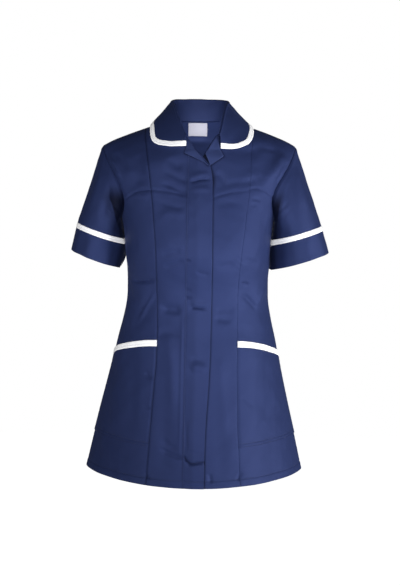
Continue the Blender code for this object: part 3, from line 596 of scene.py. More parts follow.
class Wire:
    # a shader socket that can be added, multiplied and so on like a number
    def __init__(self, shade, socket):
        self.shade, self.socket = shade, socket

    def maths(self, operation, first, second=0.0):
        return self.shade.node("Math", {"operation": operation}, {0: first, 1: second})

    def __add__(self, other):
        return self.maths("ADD", self, other)

    def __sub__(self, other):
        return self.maths("SUBTRACT", self, other)

    def __rsub__(self, other):
        return self.maths("SUBTRACT", other, self)

    def __mul__(self, other):
        return self.maths("MULTIPLY", self, other)

    __radd__, __rmul__ = __add__, __mul__

    def stripes(self, spacing):
        return self.maths("SINE", self * (2 * math.pi / spacing))


class Shade:
    # the nodes of one material, or of the world
    def __init__(self, owner, surface="Principled BSDF"):
        self.owner = bpy.data.materials.new(owner) if isinstance(owner, str) else owner
        self.owner.use_nodes = True
        self.tree = self.owner.node_tree
        self.surface = self.tree.nodes[surface]

    def node(self, kind, settings=None, inputs=None, output=0):
        made = self.tree.nodes.new("ShaderNode" + kind)
        for key, value in (settings or {}).items():
            setattr(made, key, value)
        for key, value in (inputs or {}).items():
            self.put(made.inputs[key], value)
        return Wire(self, made.outputs[output])

    def put(self, socket, value):
        if isinstance(value, Wire):
            self.tree.links.new(value.socket, socket)
        else:
            socket.default_value = value

    def finish(self, **values):
        for key, value in values.items():
            self.put(self.surface.inputs[key.replace("_", " ")], value)
        return self.owner

    def blend(self, factor, first, second):
        return self.node("Mix", {"data_type": "RGBA"}, {"Factor": factor, 6: first, 7: second}, 2)

    def weave(self):
        # a place on the cut cloth in metres: both ways together, across, and down
        uv = self.node("UVMap", {"uv_map": "weave"})
        ways = self.node("SeparateXYZ", None, {0: uv}).socket.node.outputs
        return uv, Wire(self, ways[0]), Wire(self, ways[1])

    def noise(self, place, scale, detail):
        return self.node("TexNoise", None, {"Vector": place, "Scale": scale, "Detail": detail})

    # the marks on each piece: seam lines and painted shade above zero, painted highlights below zero
    def seamAndPaintedLightMark(self):
        return self.node("Attribute", {"attribute_name": "seam"}, None, 2)

    def bump(self, strength, height):
        return self.node("Bump", None, {"Strength": strength, "Distance": 1.0, "Height": height})


def rgb(r, g, b):
    return (r, g, b, 1.0)


navy = {
    "dark": rgb(0.0168, 0.0265, 0.0860),
    "light": rgb(0.0290, 0.0435, 0.1330),
    # the colour of seam lines and of painted shade
    "seam": rgb(0.0028, 0.0040, 0.0140),
    "edge": rgb(0.0600, 0.0850, 0.2200),  # painted highlight, where a fold of the cloth catches the light
    "twillLine": 0.00095,
    "crossSlant": 0.6,
    "crossLine": 1.7,  # the crossing lines are so many times closer
    "slub": 700.0,
    "cloud": 9.0,
    "weaveShare": 0.30,
    "yarnShare": 0.35,
    "cloudShare": 0.45,
    "weaveHeight": 0.00005,
    "yarnHeight": 0.00007,
    "roughness": 0.52,
    "metallic": 0.24,
    "sheen": 0.04,
}


def navyTwill():
    # dense twill with a slight satin glow: diagonal lines, uneven yarns, and a little cloudiness of the dye
    shade = Shade("navyTwill")
    uv, u, v = shade.weave()
    line = (u + v).stripes(navy["twillLine"])
    crossing = (u - v * navy["crossSlant"]).stripes(navy["twillLine"] / navy["crossLine"])
    weave = line * 0.5 + crossing * 0.22 + 0.5
    yarn = shade.noise(uv, navy["slub"], 2.0)
    cloud = shade.noise(shade.node("TexCoord", None, None, 3), navy["cloud"], 3.0)
    light = weave * navy["weaveShare"] + yarn * navy["yarnShare"] + cloud * navy["cloudShare"]
    colour = shade.blend(light, navy["dark"], navy["light"])
    # seam lines and painted shade darken the twill, and painted highlights lighten it
    mark = shade.seamAndPaintedLightMark()
    colour = shade.blend(mark * 0.95, colour, navy["seam"])
    colour = shade.blend(mark * -1.0, colour, navy["edge"])
    bump = shade.bump(0.6, weave * navy["weaveHeight"] + yarn * navy["yarnHeight"])
    return shade.finish(Base_Color=colour, Roughness=navy["roughness"] + cloud * 0.06, Normal=bump,
                        Metallic=navy["metallic"], Specular_IOR_Level=0.06, Sheen_Weight=navy["sheen"],
                        Sheen_Roughness=0.4, Sheen_Tint=rgb(0.3, 0.4, 1.0))


white = {
    "dark": rgb(0.88, 0.88, 0.91),
    "light": rgb(0.95, 0.95, 0.97),
    "sewn": rgb(0.42, 0.42, 0.50),
    "rib": 0.0008,
    "ribSlant": 0.5,
    "slub": 900.0,
    "ribShare": 0.4,
    "yarnShare": 0.6,
    "sewnShare": 0.6,
    "ribHeight": 0.00004,
    "yarnHeight": 0.00005,
    "roughness": 0.75,
    "sheen": 0.1,
    "paintedGlow": 0.20,  # painted light: the white binding glows a little, to show whiter
}


def whiteBraid():
    # flat bias binding with a fine rib across it
    shade = Shade("whiteBinding")
    uv, u, v = shade.weave()
    rib = (u + v * white["ribSlant"]).stripes(white["rib"]) * 0.5 + 0.5
    yarn = shade.noise(uv, white["slub"], 2.0)
    colour = shade.blend(rib * white["ribShare"] + yarn * white["yarnShare"], white["dark"], white["light"])
    colour = shade.blend(shade.seamAndPaintedLightMark() * white["sewnShare"], colour, white["sewn"])
    bump = shade.bump(0.5, rib * white["ribHeight"] + yarn * white["yarnHeight"])
    # the binding glows a little of itself, as painted light
    return shade.finish(Base_Color=colour, Roughness=white["roughness"], Normal=bump, Specular_IOR_Level=0.2,
                        Sheen_Weight=white["sheen"], Emission_Color=rgb(1, 1, 1),
                        Emission_Strength=white["paintedGlow"])


satin = {
    "dark": rgb(0.43, 0.43, 0.52),
    "light": rgb(0.53, 0.53, 0.61),
    "thread": 0.0006,
    "slub": 400.0,
    "threadShare": 0.3,
    "yarnShare": 0.7,
    "threadHeight": 0.00003,
    "roughness": 0.5,
}


def labelSatin():
    # woven label cloth, blank
    shade = Shade("labelCloth")
    uv, _, v = shade.weave()
    thread = v.stripes(satin["thread"]) * 0.5 + 0.5
    yarn = shade.noise(uv, satin["slub"], 2.0)
    light = thread * satin["threadShare"] + yarn * satin["yarnShare"]
    colour = shade.blend(light, satin["dark"], satin["light"])
    bump = shade.bump(0.4, thread * satin["threadHeight"])
    return shade.finish(Base_Color=colour, Roughness=satin["roughness"], Normal=bump, Specular_IOR_Level=0.3)


threads = {
    "navy": (rgb(0.016, 0.022, 0.064), rgb(0.030, 0.040, 0.100)),  # where dark and where light
    "white": (rgb(0.74, 0.74, 0.78), rgb(0.88, 0.88, 0.90)),
    "twist": 1400.0,
    "roughness": 0.45,
    "sheen": 0.1,
}


def sewingThread(colour):
    shade = Shade(colour + "Thread")
    twist = shade.noise(shade.node("TexCoord", None, None, 3), threads["twist"], 1.0)
    return shade.finish(Base_Color=shade.blend(twist, *threads[colour]), Roughness=threads["roughness"],
                        Specular_IOR_Level=0.3, Sheen_Weight=threads["sheen"])


navyCloth = navyTwill(), "navy"
whiteCloth = whiteBraid(), "white"
labelCloth = labelSatin(), "white"
navyThread = sewingThread("navy"), "navy"
whiteThread = sewingThread("white"), "white"
print("materials made")


# fronts

fronts = {
    "flyStitch": -0.0190,
    "flyProud": 0.0010,  # how far the doubled edge's inside stands off the front under it
    "flyWall": 0.0020,
    "flySewnTo": 0.638,  # where its sewing turns across, below the shoulders
    # painted shade along each side of the princess seams, or painted highlight below zero, and how deep they
    # dip
    "princessShadeAndLight": {"right": 0.5, "left": -0.45},
    "centreShadeAndLight": {"right": 0.5, "left": -0.3},
    "princessDip": {"right": 0.6, "left": 0.2},
    "sewnLight": 0.50,
    "sewnShadow": 0.40,
    "edgeLight": 0.40,
    "edgeShadow": 0.5,
    "endShadow": 0.70,
    "underShadow": 0.95,
    "underWidth": 0.0022,
    "gape": 0.098,  # painted shade beside the fly is widest here, below the shoulders, where the fly stands off most
    "gapeWidth": 0.0030,
    "gapeReach": 0.016,
    "swell": 0.0004,  # of the front beside the fly's sewing
    "swellAt": 0.003,
    "swellWidth": 0.002,
    "groove": 0.0005,
    "grooveWidth": 0.001,
    "lightWidth": 0.0009,
    "shadowAt": 0.0022,
    "shadowWidth": 0.0012,
    "endWidth": 0.0015,
    "skirt": 0.40,  # the fly's free edge catches the light from here down
    "skirtFade": 0.06,
    "flyEdge": columns(
        "drop x",
        (0.073, 0.0222), (0.090, 0.0262), (0.130, 0.0278), (0.210, 0.0283), (0.330, 0.0288), (0.410, 0.0284),
        (0.470, 0.0272), (0.520, 0.0250), (0.560, 0.0226), (0.600, 0.0210), (0.700, 0.0205)),
    # where its sewing turns across to the edge, and the notch in the hem below
    "flyEnd": columns(
        "freeX freeZ",
        (-0.0190, -0.6370), (-0.0150, -0.6440), (-0.0080, -0.6490), (0.0060, -0.6465), (0.0195, -0.6450)),
    "neckRight": columns(
        "x z",
        (-0.0625, 0.0045), (-0.060, -0.0010), (-0.054, -0.0080), (-0.044, -0.0150), (-0.034, -0.0205),
        (-0.0225, -0.0225), (-0.0112, -0.0365), (-0.0020, -0.0490), (0.0085, -0.0585), (0.0222, -0.0735),
        (0.0285, -0.0800)),
    "neckLeft": columns(
        "x z",
        (-0.0120, -0.0840), (0.0110, -0.0527), (0.0225, -0.0330), (0.0350, -0.0170), (0.0450, -0.0140),
        (0.0510, -0.0100), (0.0560, -0.0050), (0.0600, 0.0010), (0.0625, 0.0060)),
}


rowSteps = {
    "shoulder": 0.020,  # the rows are closer down to here
    "shoulderRows": 15,
    "body": 0.0026,
    "atSewing": np.array([-0.0009, -0.0001, 0.0009]),
    "aboveHem": 0.0006,
    "least": 0.0003,
}


def fineDrops():
    # rows down the body: close together over the shoulder and at sewing, and exactly on the pocket's edges
    hemLine, shoulder = form["length"] - sewing["hem"], rowSteps["shoulder"]
    marks = [shoulder, form["armpit"], form["waist"], form["mouth"], form["mouth"] + form["mouthBinding"],
             form["pocketEnd"], hemLine, form["length"] - rowSteps["aboveHem"]]
    parts = [shoulder * (np.arange(rowSteps["shoulderRows"]) / rowSteps["shoulderRows"]) ** 2]
    for start, end in zip(marks[:-1], marks[1:]):
        parts.append(np.linspace(start, end, max(2, round((end - start) / rowSteps["body"])), endpoint=False))
    for line in [hemLine] + [form["pocketEnd"] - up for up in sewing["pocket"]]:
        parts.append(line + rowSteps["atSewing"])
    rows = np.sort(np.append(np.concatenate(parts), [marks[-1], form["length"]]))
    keep = np.append(True, np.diff(rows) > rowSteps["least"])
    keep[-1] = True
    return rows[keep]


drops = fineDrops()


def rowAt(drop):
    return int(np.argmin(np.abs(drops - drop)))


def topEdge(x, table):
    inside = through(table, "x", "z", x)
    return np.where((x >= table["x"][0]) & (x <= table["x"][-1]), inside, ridgeHeight(x))


def princessSeam(side, drop, sign, away):
    # half a gap from the seam's middle, to the side that away gives
    return sign * through(form["princess"], "drop", side, drop) + away * form["seamGap"] / 2


def centreFront(sign, table, overlapShares, side):
    # from the free edge to the princess seam; overlapShares are 0 at the fly's sewing and 1 at its edge
    rows = []
    shares = spread((), 31, (0.992, 1))
    for drop in drops:
        seam = princessSeam(side, drop, sign, -sign)
        level = drop
        for _ in range(4):
            edge = through(fronts["flyEdge"], "drop", "x", level)
            level = -rowHeight(drop, topEdge(edge, table))
        overlap = fronts["flyStitch"] + (edge - fronts["flyStitch"]) * overlapShares
        x = np.concatenate([overlap, overlap[-1] + (seam - overlap[-1]) * shares])
        rows.append(bodyPoint(x, rowHeight(drop, topEdge(x, table)), "front"))
    return np.array(rows)


def sideRow(sign, drop, startX, edgeColumn, shares):
    # one row of a side panel, from a start width to the armhole or the side seam
    if drop < form["armpit"]:
        edgeX = form["armhole"]["front"][0]
        for _ in range(6):
            edgeZ = rowHeight(drop, ridgeHeight(sign * edgeX))
            edgeX = through(form["armhole"], "drop", edgeColumn, -edgeZ)
        endAngle = np.arcsin(min(edgeX / halfWidth(sign, -edgeZ), 1.0))
        halfStart = halfWidth(sign, -rowHeight(drop, ridgeHeight(startX)))
    else:
        endAngle = np.pi / 2
        halfStart = halfWidth(sign, drop)
    startAngle = np.arcsin(abs(startX) / halfStart)
    angles = startAngle + (endAngle - startAngle) * shares
    # the rows lean with the pocket's slanting mouth, and are level again at the waist and the pocket's end
    above = smoothStep((drop - form["waist"]) / (form["mouth"] - form["waist"]))
    pocketLength = form["pocketEnd"] - form["mouth"] - form["mouthBinding"]
    below = np.clip((form["pocketEnd"] - drop) / pocketLength, 0, 1)
    shift = form["mouthDrop"][sign] * shares ** form["mouthCurve"] * np.minimum(above, below)
    x = sign * halfStart * np.sin(angles)
    for _ in range(5):
        z = rowHeight(drop, ridgeHeight(x)) - shift
        x = sign * halfWidth(sign, -z) * np.sin(angles)
    return x, z


def sideFront(sign, side):
    shares = spread((0, 0.004), 58, (0.997, 1))
    rows = [sideRow(sign, drop, princessSeam(side, drop, sign, sign), "front", shares) for drop in drops]
    return np.array([bodyPoint(x, z, "front") for x, z in rows])


def hemRise(points):
    # the hem is folded double up to its sewing, which pulls it in
    up = edgeDistances(points)["bottom"]
    drawn = sewing["hemDrawn"] * bell(up - sewing["hem"], sewing["drawnWidth"])
    return sewing["hemDoubled"] * smoothStep((sewing["hem"] - up) / sewing["hemEdge"]) - drawn


def hemmed(name, sewnAs, points, normals, inner, outer, edges, marks=0.0, softEdges=(), turned=()):
    # a panel of the body with its hem sewn up; edges tells how dark its seams are, as their line and as
    # painted shade, or how light where below zero, as painted highlight
    grid, _ = cloth(name, points, normals, inner, outer + hemRise(points), navyCloth,
                    softEdges=(*softEdges, "bottom"), turned=turned,
                    marks=seamLinesAndPaintedLight(points, edges, [sewing["hem"]], marks))
    row = rowAt(form["length"] - sewing["hem"])
    sew("hem_stitching_" + sewnAs, grid[row], normals[row], navyThread)
    return grid


revers = {
    "wall": 0.0014,
    "overFly": 0.0034,
    "overFront": 0.0017,
    "spring": 0.0036,
    "light": 0.14,  # they face the light, and their roll does more
    "rollLight": 0.35,
    "rollWidth": 0.06,
    "shadow": 0.75,  # on the fronts, beside their free edges
    "shadowWidth": 0.0026,
    "right": columns(
        "rollX rollZ freeX freeZ",
        (-0.0206, -0.0215, -0.0228, -0.0225), (-0.0120, -0.0375, -0.0234, -0.0430),
        (-0.0060, -0.0465, -0.0266, -0.0515), (0.0050, -0.0575, -0.0080, -0.0585),
        (0.0140, -0.0655, 0.0105, -0.0665), (0.0196, -0.0728, 0.0176, -0.0738)),
    "left": columns(
        "rollX rollZ freeX freeZ",
        (0.0352, -0.0175, 0.0372, -0.0175), (0.0232, -0.0335, 0.0374, -0.0330),
        (0.0120, -0.0527, 0.0400, -0.0440), (0.0170, -0.0615, 0.0475, -0.0563),
        (0.0222, -0.0735, 0.0240, -0.0725)),
}


def makeOverlap():
    # the front that laps over, with the fly's doubled edge
    overlap = np.concatenate([[1, 0.99], np.linspace(0.95, 0.05, 18), [0.02, 0]])
    points = centreFront(-1, fronts["neckRight"], overlap, "right")
    points, normals = bodyCloth(points, "front", {"last": fronts["princessDip"]["right"]})
    column = len(overlap) - 1  # where the fly is sewn down
    share = np.append(overlap, np.zeros(points.shape[1] - len(overlap)))
    past = np.pad(edgeDistances(points[:, column:])["first"], ((0, 0), (column, 0)))
    rise, atSewing = smoothStep(share / 0.50), bell(share, 0.02)
    inner = -halfWall + (fronts["flyProud"] + halfWall) * rise
    outer = halfWall + (fronts["flyProud"] + fronts["flyWall"] - halfWall) * rise
    outer = outer + fronts["swell"] * bell(past - fronts["swellAt"], fronts["swellWidth"])
    outer = outer - fronts["groove"] * atSewing * bell(past, fronts["grooveWidth"])
    # its sewing catches the light, with a shadow beside it, and so does its free edge over the skirt
    marks = fronts["sewnShadow"] * bell(past - fronts["shadowAt"], fronts["shadowWidth"])
    marks = marks - fronts["sewnLight"] * bell(past, fronts["lightWidth"])
    marks = atSewing * marks + fronts["edgeShadow"] * (share > 0.995)
    overSkirt = smoothStep((-points[..., 2] - fronts["skirt"]) / fronts["skirtFade"])
    marks = marks - fronts["edgeLight"] * overSkirt * bell(share - 0.95, 0.03)
    # painted shadows beside the revers' free edge and along the fly's end sewing
    marks = marks + paintedShadowAlong(points, revers["right"], revers["shadow"], revers["shadowWidth"])
    marks = marks + paintedShadowAlong(points, fronts["flyEnd"], fronts["endShadow"], fronts["endWidth"])
    grid = hemmed("front_centre_right", "centreRight", points, normals, inner, outer,
                  {"last": fronts["centreShadeAndLight"]["right"]}, marks, ("first",))
    end = int(np.argmin(np.abs(grid[:, column, 2] + fronts["flySewnTo"])))
    sew("fly_stitching", grid[2:end, column], normals[2:end, column], navyThread)
    # near the hem it turns across to the edge
    turn = np.array([(end, column), (end + 5, column - 6), (end + 4, column - 12), (end + 2, 1)])
    path, ways = grid[turn[:, 0], turn[:, 1]], normals[turn[:, 0], turn[:, 1]]
    sew("fly_end_stitching", path + ways * 0.0003, ways, navyThread)


def makeUnderlap():
    # the front under it
    overlap = np.concatenate([[0.40, 0.415], np.linspace(0.45, 1.0, 18)])
    points = centreFront(1, fronts["neckLeft"], overlap, "left")
    points, normals = bodyCloth(points, "front", {"last": fronts["princessDip"]["left"]})
    # painted shade lies just beside the edge of the fly, wider below the neck, where the fly stands off a
    # little more
    beside = points[..., 0] - through(fronts["flyEdge"], "drop", "x", -points[..., 2])
    gape = bell(points[..., 2] + fronts["gape"], fronts["gapeReach"])
    reach = fronts["underWidth"] + fronts["gapeWidth"] * gape
    marks = fronts["underShadow"] * bell(np.maximum(beside, 0), reach) * (beside > -0.02)
    # and painted shadow beside the free edge of the revers over it
    marks = np.maximum(marks, paintedShadowAlong(points, revers["left"], revers["shadow"], revers["shadowWidth"]))
    hemmed("front_centre_left", "centreLeft", points, normals, -halfWall, halfWall,
           {"last": fronts["centreShadeAndLight"]["left"]}, marks, ("first",))


def makeSideFronts():
    made = {}
    for sign, side in ((-1, "right"), (1, "left")):
        dips = {"first": fronts["princessDip"][side], "last": 1.0}
        points, normals = bodyCloth(sideFront(sign, side), "front", dips)
        hemmed("front_side_" + side, "side" + side, points, normals, -halfWall, halfWall,
               {"first": fronts["princessShadeAndLight"][side], "last": 1.0}, turned=("first", "last"))
        made[side] = (points, normals)
    return made


makeOverlap()
makeUnderlap()
sideFronts = makeSideFronts()
print("fronts made")


# bindings and pockets

tape = {
    "rows": np.array([0, 0.06, 0.16, 0.28, 0.40, 0.48, 0.53, 0.58, 0.63, 0.68, 0.76, 0.86, 0.94, 1.0]),
    "sewn": 0.58,  # the share of its width where it is sewn down
    "sewnWidth": 0.05,
    "groove": 0.0003,
}


def sewnDown(t):
    return bell(t - tape["sewn"], tape["sewnWidth"])


def crowned(t, height, fall):
    # how high a rounded tape stands over its width, with its groove
    return height * (1 - fall * np.abs(2 * t - 1) ** 4) - tape["groove"] * sewnDown(t)


def bind(place, side, points, normals, inner, outer, t, closed=False, softEdges=("top", "bottom")):
    # a white tape with one row of sewing; t is each row's share of its width
    name = place + "_binding" + side
    grid, _ = cloth(name, points, normals, inner, outer, whiteCloth, closed, softEdges, sewnDown(t))
    row = int(np.argmin(np.abs(t - tape["sewn"])))
    sew(place + "_binding_stitching" + side, grid[row], normals[row], whiteThread, closed)


pockets = {
    "bindingWall": 0.0022,
    "slack": 0.0008,  # how far the pocket stands off the panel in its middle
    "slackReach": 0.03,
    "fold": 0.0004,  # the turning at its lower edge
    "foldWidth": 0.012,
    "drawn": 0.0004,  # how far its sewing draws it down
    "thinned": 0.0009,
    "thinnedWidth": 0.0025,
    "insideSlack": 0.8,
    "crown": 0.35,
    "sideMark": 0.7,  # how dark its seam is at the side, as its line and as painted shade
}


def makePockets():
    onPanel = halfWall + form["seamGap"]
    mouth, underBinding = rowAt(form["mouth"]), rowAt(form["mouth"] + form["mouthBinding"])
    end = rowAt(form["pocketEnd"])
    for side, (points, normals) in sideFronts.items():
        panel, ways = points[underBinding:end + 1].copy(), normals[underBinding:end + 1]
        panel[0] += unit(panel[1] - panel[0]) * form["seamGap"]
        away = edgeDistances(panel)
        rise = pockets["slack"] * (0.6 + 0.4 * ripple(panel, 0.08, 21))
        for edge in ("first", "last", "bottom"):
            rise *= smoothStep(away[edge] / pockets["slackReach"])
        fold = pockets["fold"] * smoothStep(1 - away["bottom"] / pockets["foldWidth"])
        outer = onPanel + form["wall"] + rise + fold
        drawn = sum(bell(away["bottom"] - up, sewing["drawnWidth"]) for up in sewing["pocket"])
        outer -= pockets["drawn"] * drawn
        outer -= pockets["thinned"] * bell(away["first"], pockets["thinnedWidth"])
        edges = {"first": fronts["princessShadeAndLight"][side], "last": pockets["sideMark"]}
        inner = onPanel + rise * pockets["insideSlack"]
        grid, _ = cloth("pocket_" + side, panel, ways, inner, outer, navyCloth,
                        softEdges=("bottom",), marks=seamLinesAndPaintedLight(panel, edges, sewing["pocket"]))
        middle = panel.shape[1] // 2
        for number, up in enumerate(sewing["pocket"]):
            row = int(np.argmin(np.abs(away["bottom"][:, middle] - up)))
            sew(f"pocket_stitching_{side}_{number}", grid[row], ways[row], navyThread)
        # the white binding folded over the mouth, with rows between those of the panel
        rows = mouth + (underBinding - mouth) * tape["rows"]
        low, part = np.floor(rows).astype(int), (rows % 1)[:, None, None]
        high = np.minimum(low + 1, underBinding)
        band = points[low] * (1 - part) + points[high] * part
        ways = unit(normals[low] * (1 - part) + normals[high] * part)
        t = tape["rows"][:, None]
        crown = crowned(t, pockets["bindingWall"], pockets["crown"])
        bind("pocket", "_" + side, band, ways, onPanel, onPanel + crown, t)


makePockets()
print("pockets made")


# back

back = {
    "neck": columns(
        "x z",
        (0.000, -0.0034), (0.020, -0.0028), (0.040, -0.0008), (0.056, 0.0026), (0.0625, 0.0047)),
    "centre": 0.060,
    # how dark its side seams are, as their line and as painted shade
    "sideMark": 0.7,
}


def makeBack():
    shares, centre = spread((), 54, (0.997, 1)), np.linspace(0, back["centre"], 21)
    halves = []
    for sign in (-1, 1):
        rows = []
        for drop in drops:
            innerX = sign * centre
            edge = topEdge(np.abs(innerX), back["neck"]) + form["shoulderTilt"] * innerX
            x, z = sideRow(sign, drop, innerX[-1], "back", shares)
            rows.append(bodyPoint(np.append(innerX, x), np.append(rowHeight(drop, edge), z), "back"))
        halves.append(np.array(rows))
    right, left = halves
    points = np.concatenate([right[:, :0:-1], left], axis=1)
    points, normals = bodyCloth(points, "back", {"first": 1.0, "last": 1.0})
    marks = {"first": back["sideMark"], "last": back["sideMark"]}
    hemmed("back", "back", points, normals, -halfWall, halfWall, marks)


makeBack()
print("back made")


# sleeves

sleeves = {
    "binding": 0.010,
    "bindingProud": 0.0008,
    "cuff": 0.045,
    "depth": 0.060,
    "cuffDepth": 0.058,
    "power": 0.94,
    "fullness": 0.008,
    "outward": 0.6,  # the share of its fullness that goes to the side
    "clearance": 0.0036,
    "press": 0.014,
    "pressFade": 0.012,
    "foldFade": 0.012,
    "innerSlant": 1.2,
    # soft folds down the cuffs: where round the sleeve in radians, their width and how far they stand off
    "cuffFolds": columns(
        "angle width height",
        (0.62, 0.12, 0.0008), (0.95, 0.14, -0.0010), (1.30, 0.13, 0.0009), (1.72, 0.15, -0.0010),
        (2.08, 0.12, 0.0009), (2.40, 0.13, -0.0010), (2.75, 0.14, 0.0006), (3.9, 0.2, -0.0009),
        (4.8, 0.22, 0.0009), (5.6, 0.2, -0.0007)),
    "forward": 0.004,
    "pitch": 0.095,
    "start": 0.0009,
    "underarmStart": 0.0014,
    "turning": 0.0030,
    "swell": 0.0006,  # the cloth stands up a little past the armhole seam
    "swellAt": 0.005,
    "swellWidth": 0.003,
    "dip": 0.0004,
    "dipWidth": 0.002,
    "radius": 0.058,  # round and down the sleeve as its creases are given
    "length": 0.19,
    "cuffProud": 0.0002,
    "cuffPaintedShade": 0.75,  # painted shade beside the body, between two angles in radians
    "darkStart": 2.35,
    "darkEnd": 4.6,
    "startFade": 0.35,
    "endFade": 0.5,
    "halo": 0.45,  # painted shade round the darkest cloth of a wedge
    "coreFade": 0.004,
    "wedgeFade": 0.036,
    # the upper and lower corners of the white band and of the cuff's end, as seen from the front;
    # wedge says how far from the body the cloth has painted shade, and over how much more it fades
    "right": {"sign": -1, "creased": 1.0, "cuffCreased": 1.0,
              "band": (0.2374, -0.2000, 0.1425, -0.2322), "end": (0.2502, -0.2547, 0.1545, -0.2905),
              "wedge": columns("drop core soft", (0.112, 0.001, 0.002), (0.142, 0.015, 0.018),
                               (0.170, 0.013, 0.020), (0.232, 0.011, 0.018))},
    "left": {"sign": 1, "creased": 0.8, "cuffCreased": 0.9,
             "band": (0.2444, -0.1990, 0.1455, -0.2300), "end": (0.2610, -0.2532, 0.1490, -0.2900),
             "wedge": columns("drop core soft", (0.120, 0.001, 0.001), (0.150, 0.005, 0.004),
                              (0.185, 0.009, 0.005), (0.232, 0.014, 0.008))},
}


def armholeLoop(sign):
    # the armhole from the shoulder point down the front to the armpit and up the back
    spots = np.append(drops[drops < form["armpit"]][::2], form["armpit"])
    halves = []
    for face in ("front", "back"):
        edge = []
        for drop in spots:
            x, z = sideRow(sign, drop, sign * 0.10, face, np.array([0.0, 1.0]))
            edge.append(bodyPoint(x[1:], z[1:], face)[0])
        halves.append(np.array(edge))
    front, rear = halves
    top, bottom = (front[0] + rear[0]) / 2, (front[-1] + rear[-1]) / 2
    loop = np.vstack([top, front[1:-1], bottom, rear[-2:0:-1]])
    lowest = len(front) - 1
    angles = []
    for part in (loop[:lowest + 1], np.vstack([loop[lowest:], loop[:1]])):
        steps = lengths(np.diff(part, axis=0))
        angles.append(np.append(0, np.cumsum(steps)) / steps.sum() * np.pi)
    return loop, np.append(angles[0], angles[1][1:-1] + np.pi)


def sleeveRing(sign, angles, edges, depth):
    outX, outZ, inX, inZ = edges
    outer = np.array([sign * outX, form["middle"] - sleeves["forward"], outZ])
    under = np.array([sign * inX, form["middle"] - sleeves["forward"], inZ])
    cosine, sine = np.cos(angles), np.sin(angles)
    across = np.sign(cosine) * np.abs(cosine) ** sleeves["power"]
    inner = smoothStep(-cosine / 0.3) * (sine > 0)
    along = np.sign(sine) * np.abs(sine) ** (sleeves["power"] + inner * sleeves["innerSlant"])
    forward = np.array([0, -depth, depth * sleeves["pitch"]])
    return (outer + under) / 2 + across[:, None] * (outer - under) / 2 + along[:, None] * forward


def clearOfBody(points):
    # points too near the body's side move straight out from it, and the rear of the sleeve is pressed to it
    x, y, z = points[..., 0], points[..., 1], points[..., 2]
    limit = np.zeros_like(x)
    for face, side in (("front", -1), ("back", 1)):
        depth = through(form["sections"], "drop", face, -z)
        power = through(form["sections"], "drop", face + "Power", -z)
        share = np.clip(side * (y - form["middle"]) / depth, 0, 0.999)
        edge = halfWidth(x, -z) * np.sqrt(1 - share ** (2 / power))
        limit = np.where(side * (y - form["middle"]) > 0, edge, limit)
    room = np.abs(x) - limit - sleeves["clearance"]
    pushed = np.where(room < 0, limit + sleeves["clearance"], np.abs(x))
    press = smoothStep((-z - form["armpit"]) / sleeves["pressFade"])
    press = press * smoothStep(1.5 - room / sleeves["press"])
    pushed = np.where((y > form["middle"]) & (room > 0), pushed - room * press, pushed)
    return np.stack([np.sign(x) * pushed, y, z], axis=-1)


def ringNormals(points):
    down = np.gradient(points, axis=0)
    across = np.roll(points, -1, axis=1) - np.roll(points, 1, axis=1)
    normals = unit(np.cross(across, down))
    outward = points - points.mean(axis=1, keepdims=True)
    return -normals if np.sum(normals * outward) < 0 else normals


def sleeveRows(sign, loop, angles, band, under):
    # from the armhole to the band: the solid's eight rows, and many more through them
    full = np.zeros_like(loop)
    full[:, 1] = -np.sin(angles) * sleeves["fullness"]
    full[:, 0] = sign * np.abs(np.sin(angles)) * sleeves["fullness"] * sleeves["outward"]
    knots = np.linspace(0, 1, 8)
    rows = [loop + (band - loop) * t + full * np.sin(np.pi * t ** 0.8) for t in knots]
    rows = np.array([clearOfBody(row) if t else row for t, row in zip(knots, rows)])
    rows[0] += unit(rows[1] - rows[0]) * sleeves["start"] * (1 - under)
    rows[0] += np.array([sign * sleeves["underarmStart"], 0, 0]) * under
    times = spread((0, 0.004), 68, (0.996, 1))
    # its turning lies inside the armhole
    inside = loop.mean(axis=0) * np.array([0, 1, 1]) + loop * np.array([1, 0, 0])
    turning = loop + unit(inside - loop) * sleeves["turning"] - np.array([sign * sleeves["turning"], 0, 0])
    return np.concatenate([turning[None], smoothThrough(knots, rows, times)]), np.append(0, times)


def makeSleeve(side, sleeve, loop, angles, band):
    sign = sleeve["sign"]
    under = smoothStep(1.6 * (0.62 - np.abs(angles / np.pi - 1)))  # 1 at the underarm
    points, times = sleeveRows(sign, loop, angles, band, under[:, None])
    normals = ringNormals(points)
    # creases on the sleeve, in its own way round and down
    way = np.where(angles > np.pi, angles - 2 * np.pi, angles) * sleeves["radius"]
    x = np.broadcast_to(way, points.shape[:2]).copy()
    z = np.broadcast_to(-times[:, None] * sleeves["length"], points.shape[:2]).copy()
    relief = creaseRelief(x, z, "sleeve") * sleeve["creased"] + waves(points, "sleeve")
    ends = smoothStep(times / 0.1) * smoothStep((1 - times) / 0.06)
    relief *= np.clip(1 - under * 1.2, 0, 1) * ends[:, None]
    top = lengths(points - points[1:2])
    swell = sleeves["swell"] * bell(top - sleeves["swellAt"], sleeves["swellWidth"]) * (1 - under)
    relief += swell - sleeves["dip"] * bell(top, sleeves["dipWidth"])
    points = points + normals * relief[..., None]
    # painted shade where the sleeve turns in beside the body
    drop, wedge = -points[..., 2], sleeve["wedge"]
    room = np.abs(points[..., 0]) - halfWidth(points[..., 0], drop)
    core, soft = (np.interp(drop, wedge["drop"], wedge[key]) for key in ("core", "soft"))
    halo = sleeves["halo"] * smoothStep((core + soft - room) / soft)
    dark = np.maximum(smoothStep((core - room) / sleeves["coreFade"]), halo)
    fade = smoothStep((drop - wedge["drop"][0]) / sleeves["wedgeFade"])
    dark *= fade * smoothStep((sleeves["darkEnd"] - angles) / sleeves["endFade"])
    cloth("sleeve_" + side, points, ringNormals(points), -halfWall, halfWall, navyCloth, closed=True,
          marks=seamLinesAndPaintedLight(points, {"top": 1.0}, (), dark))


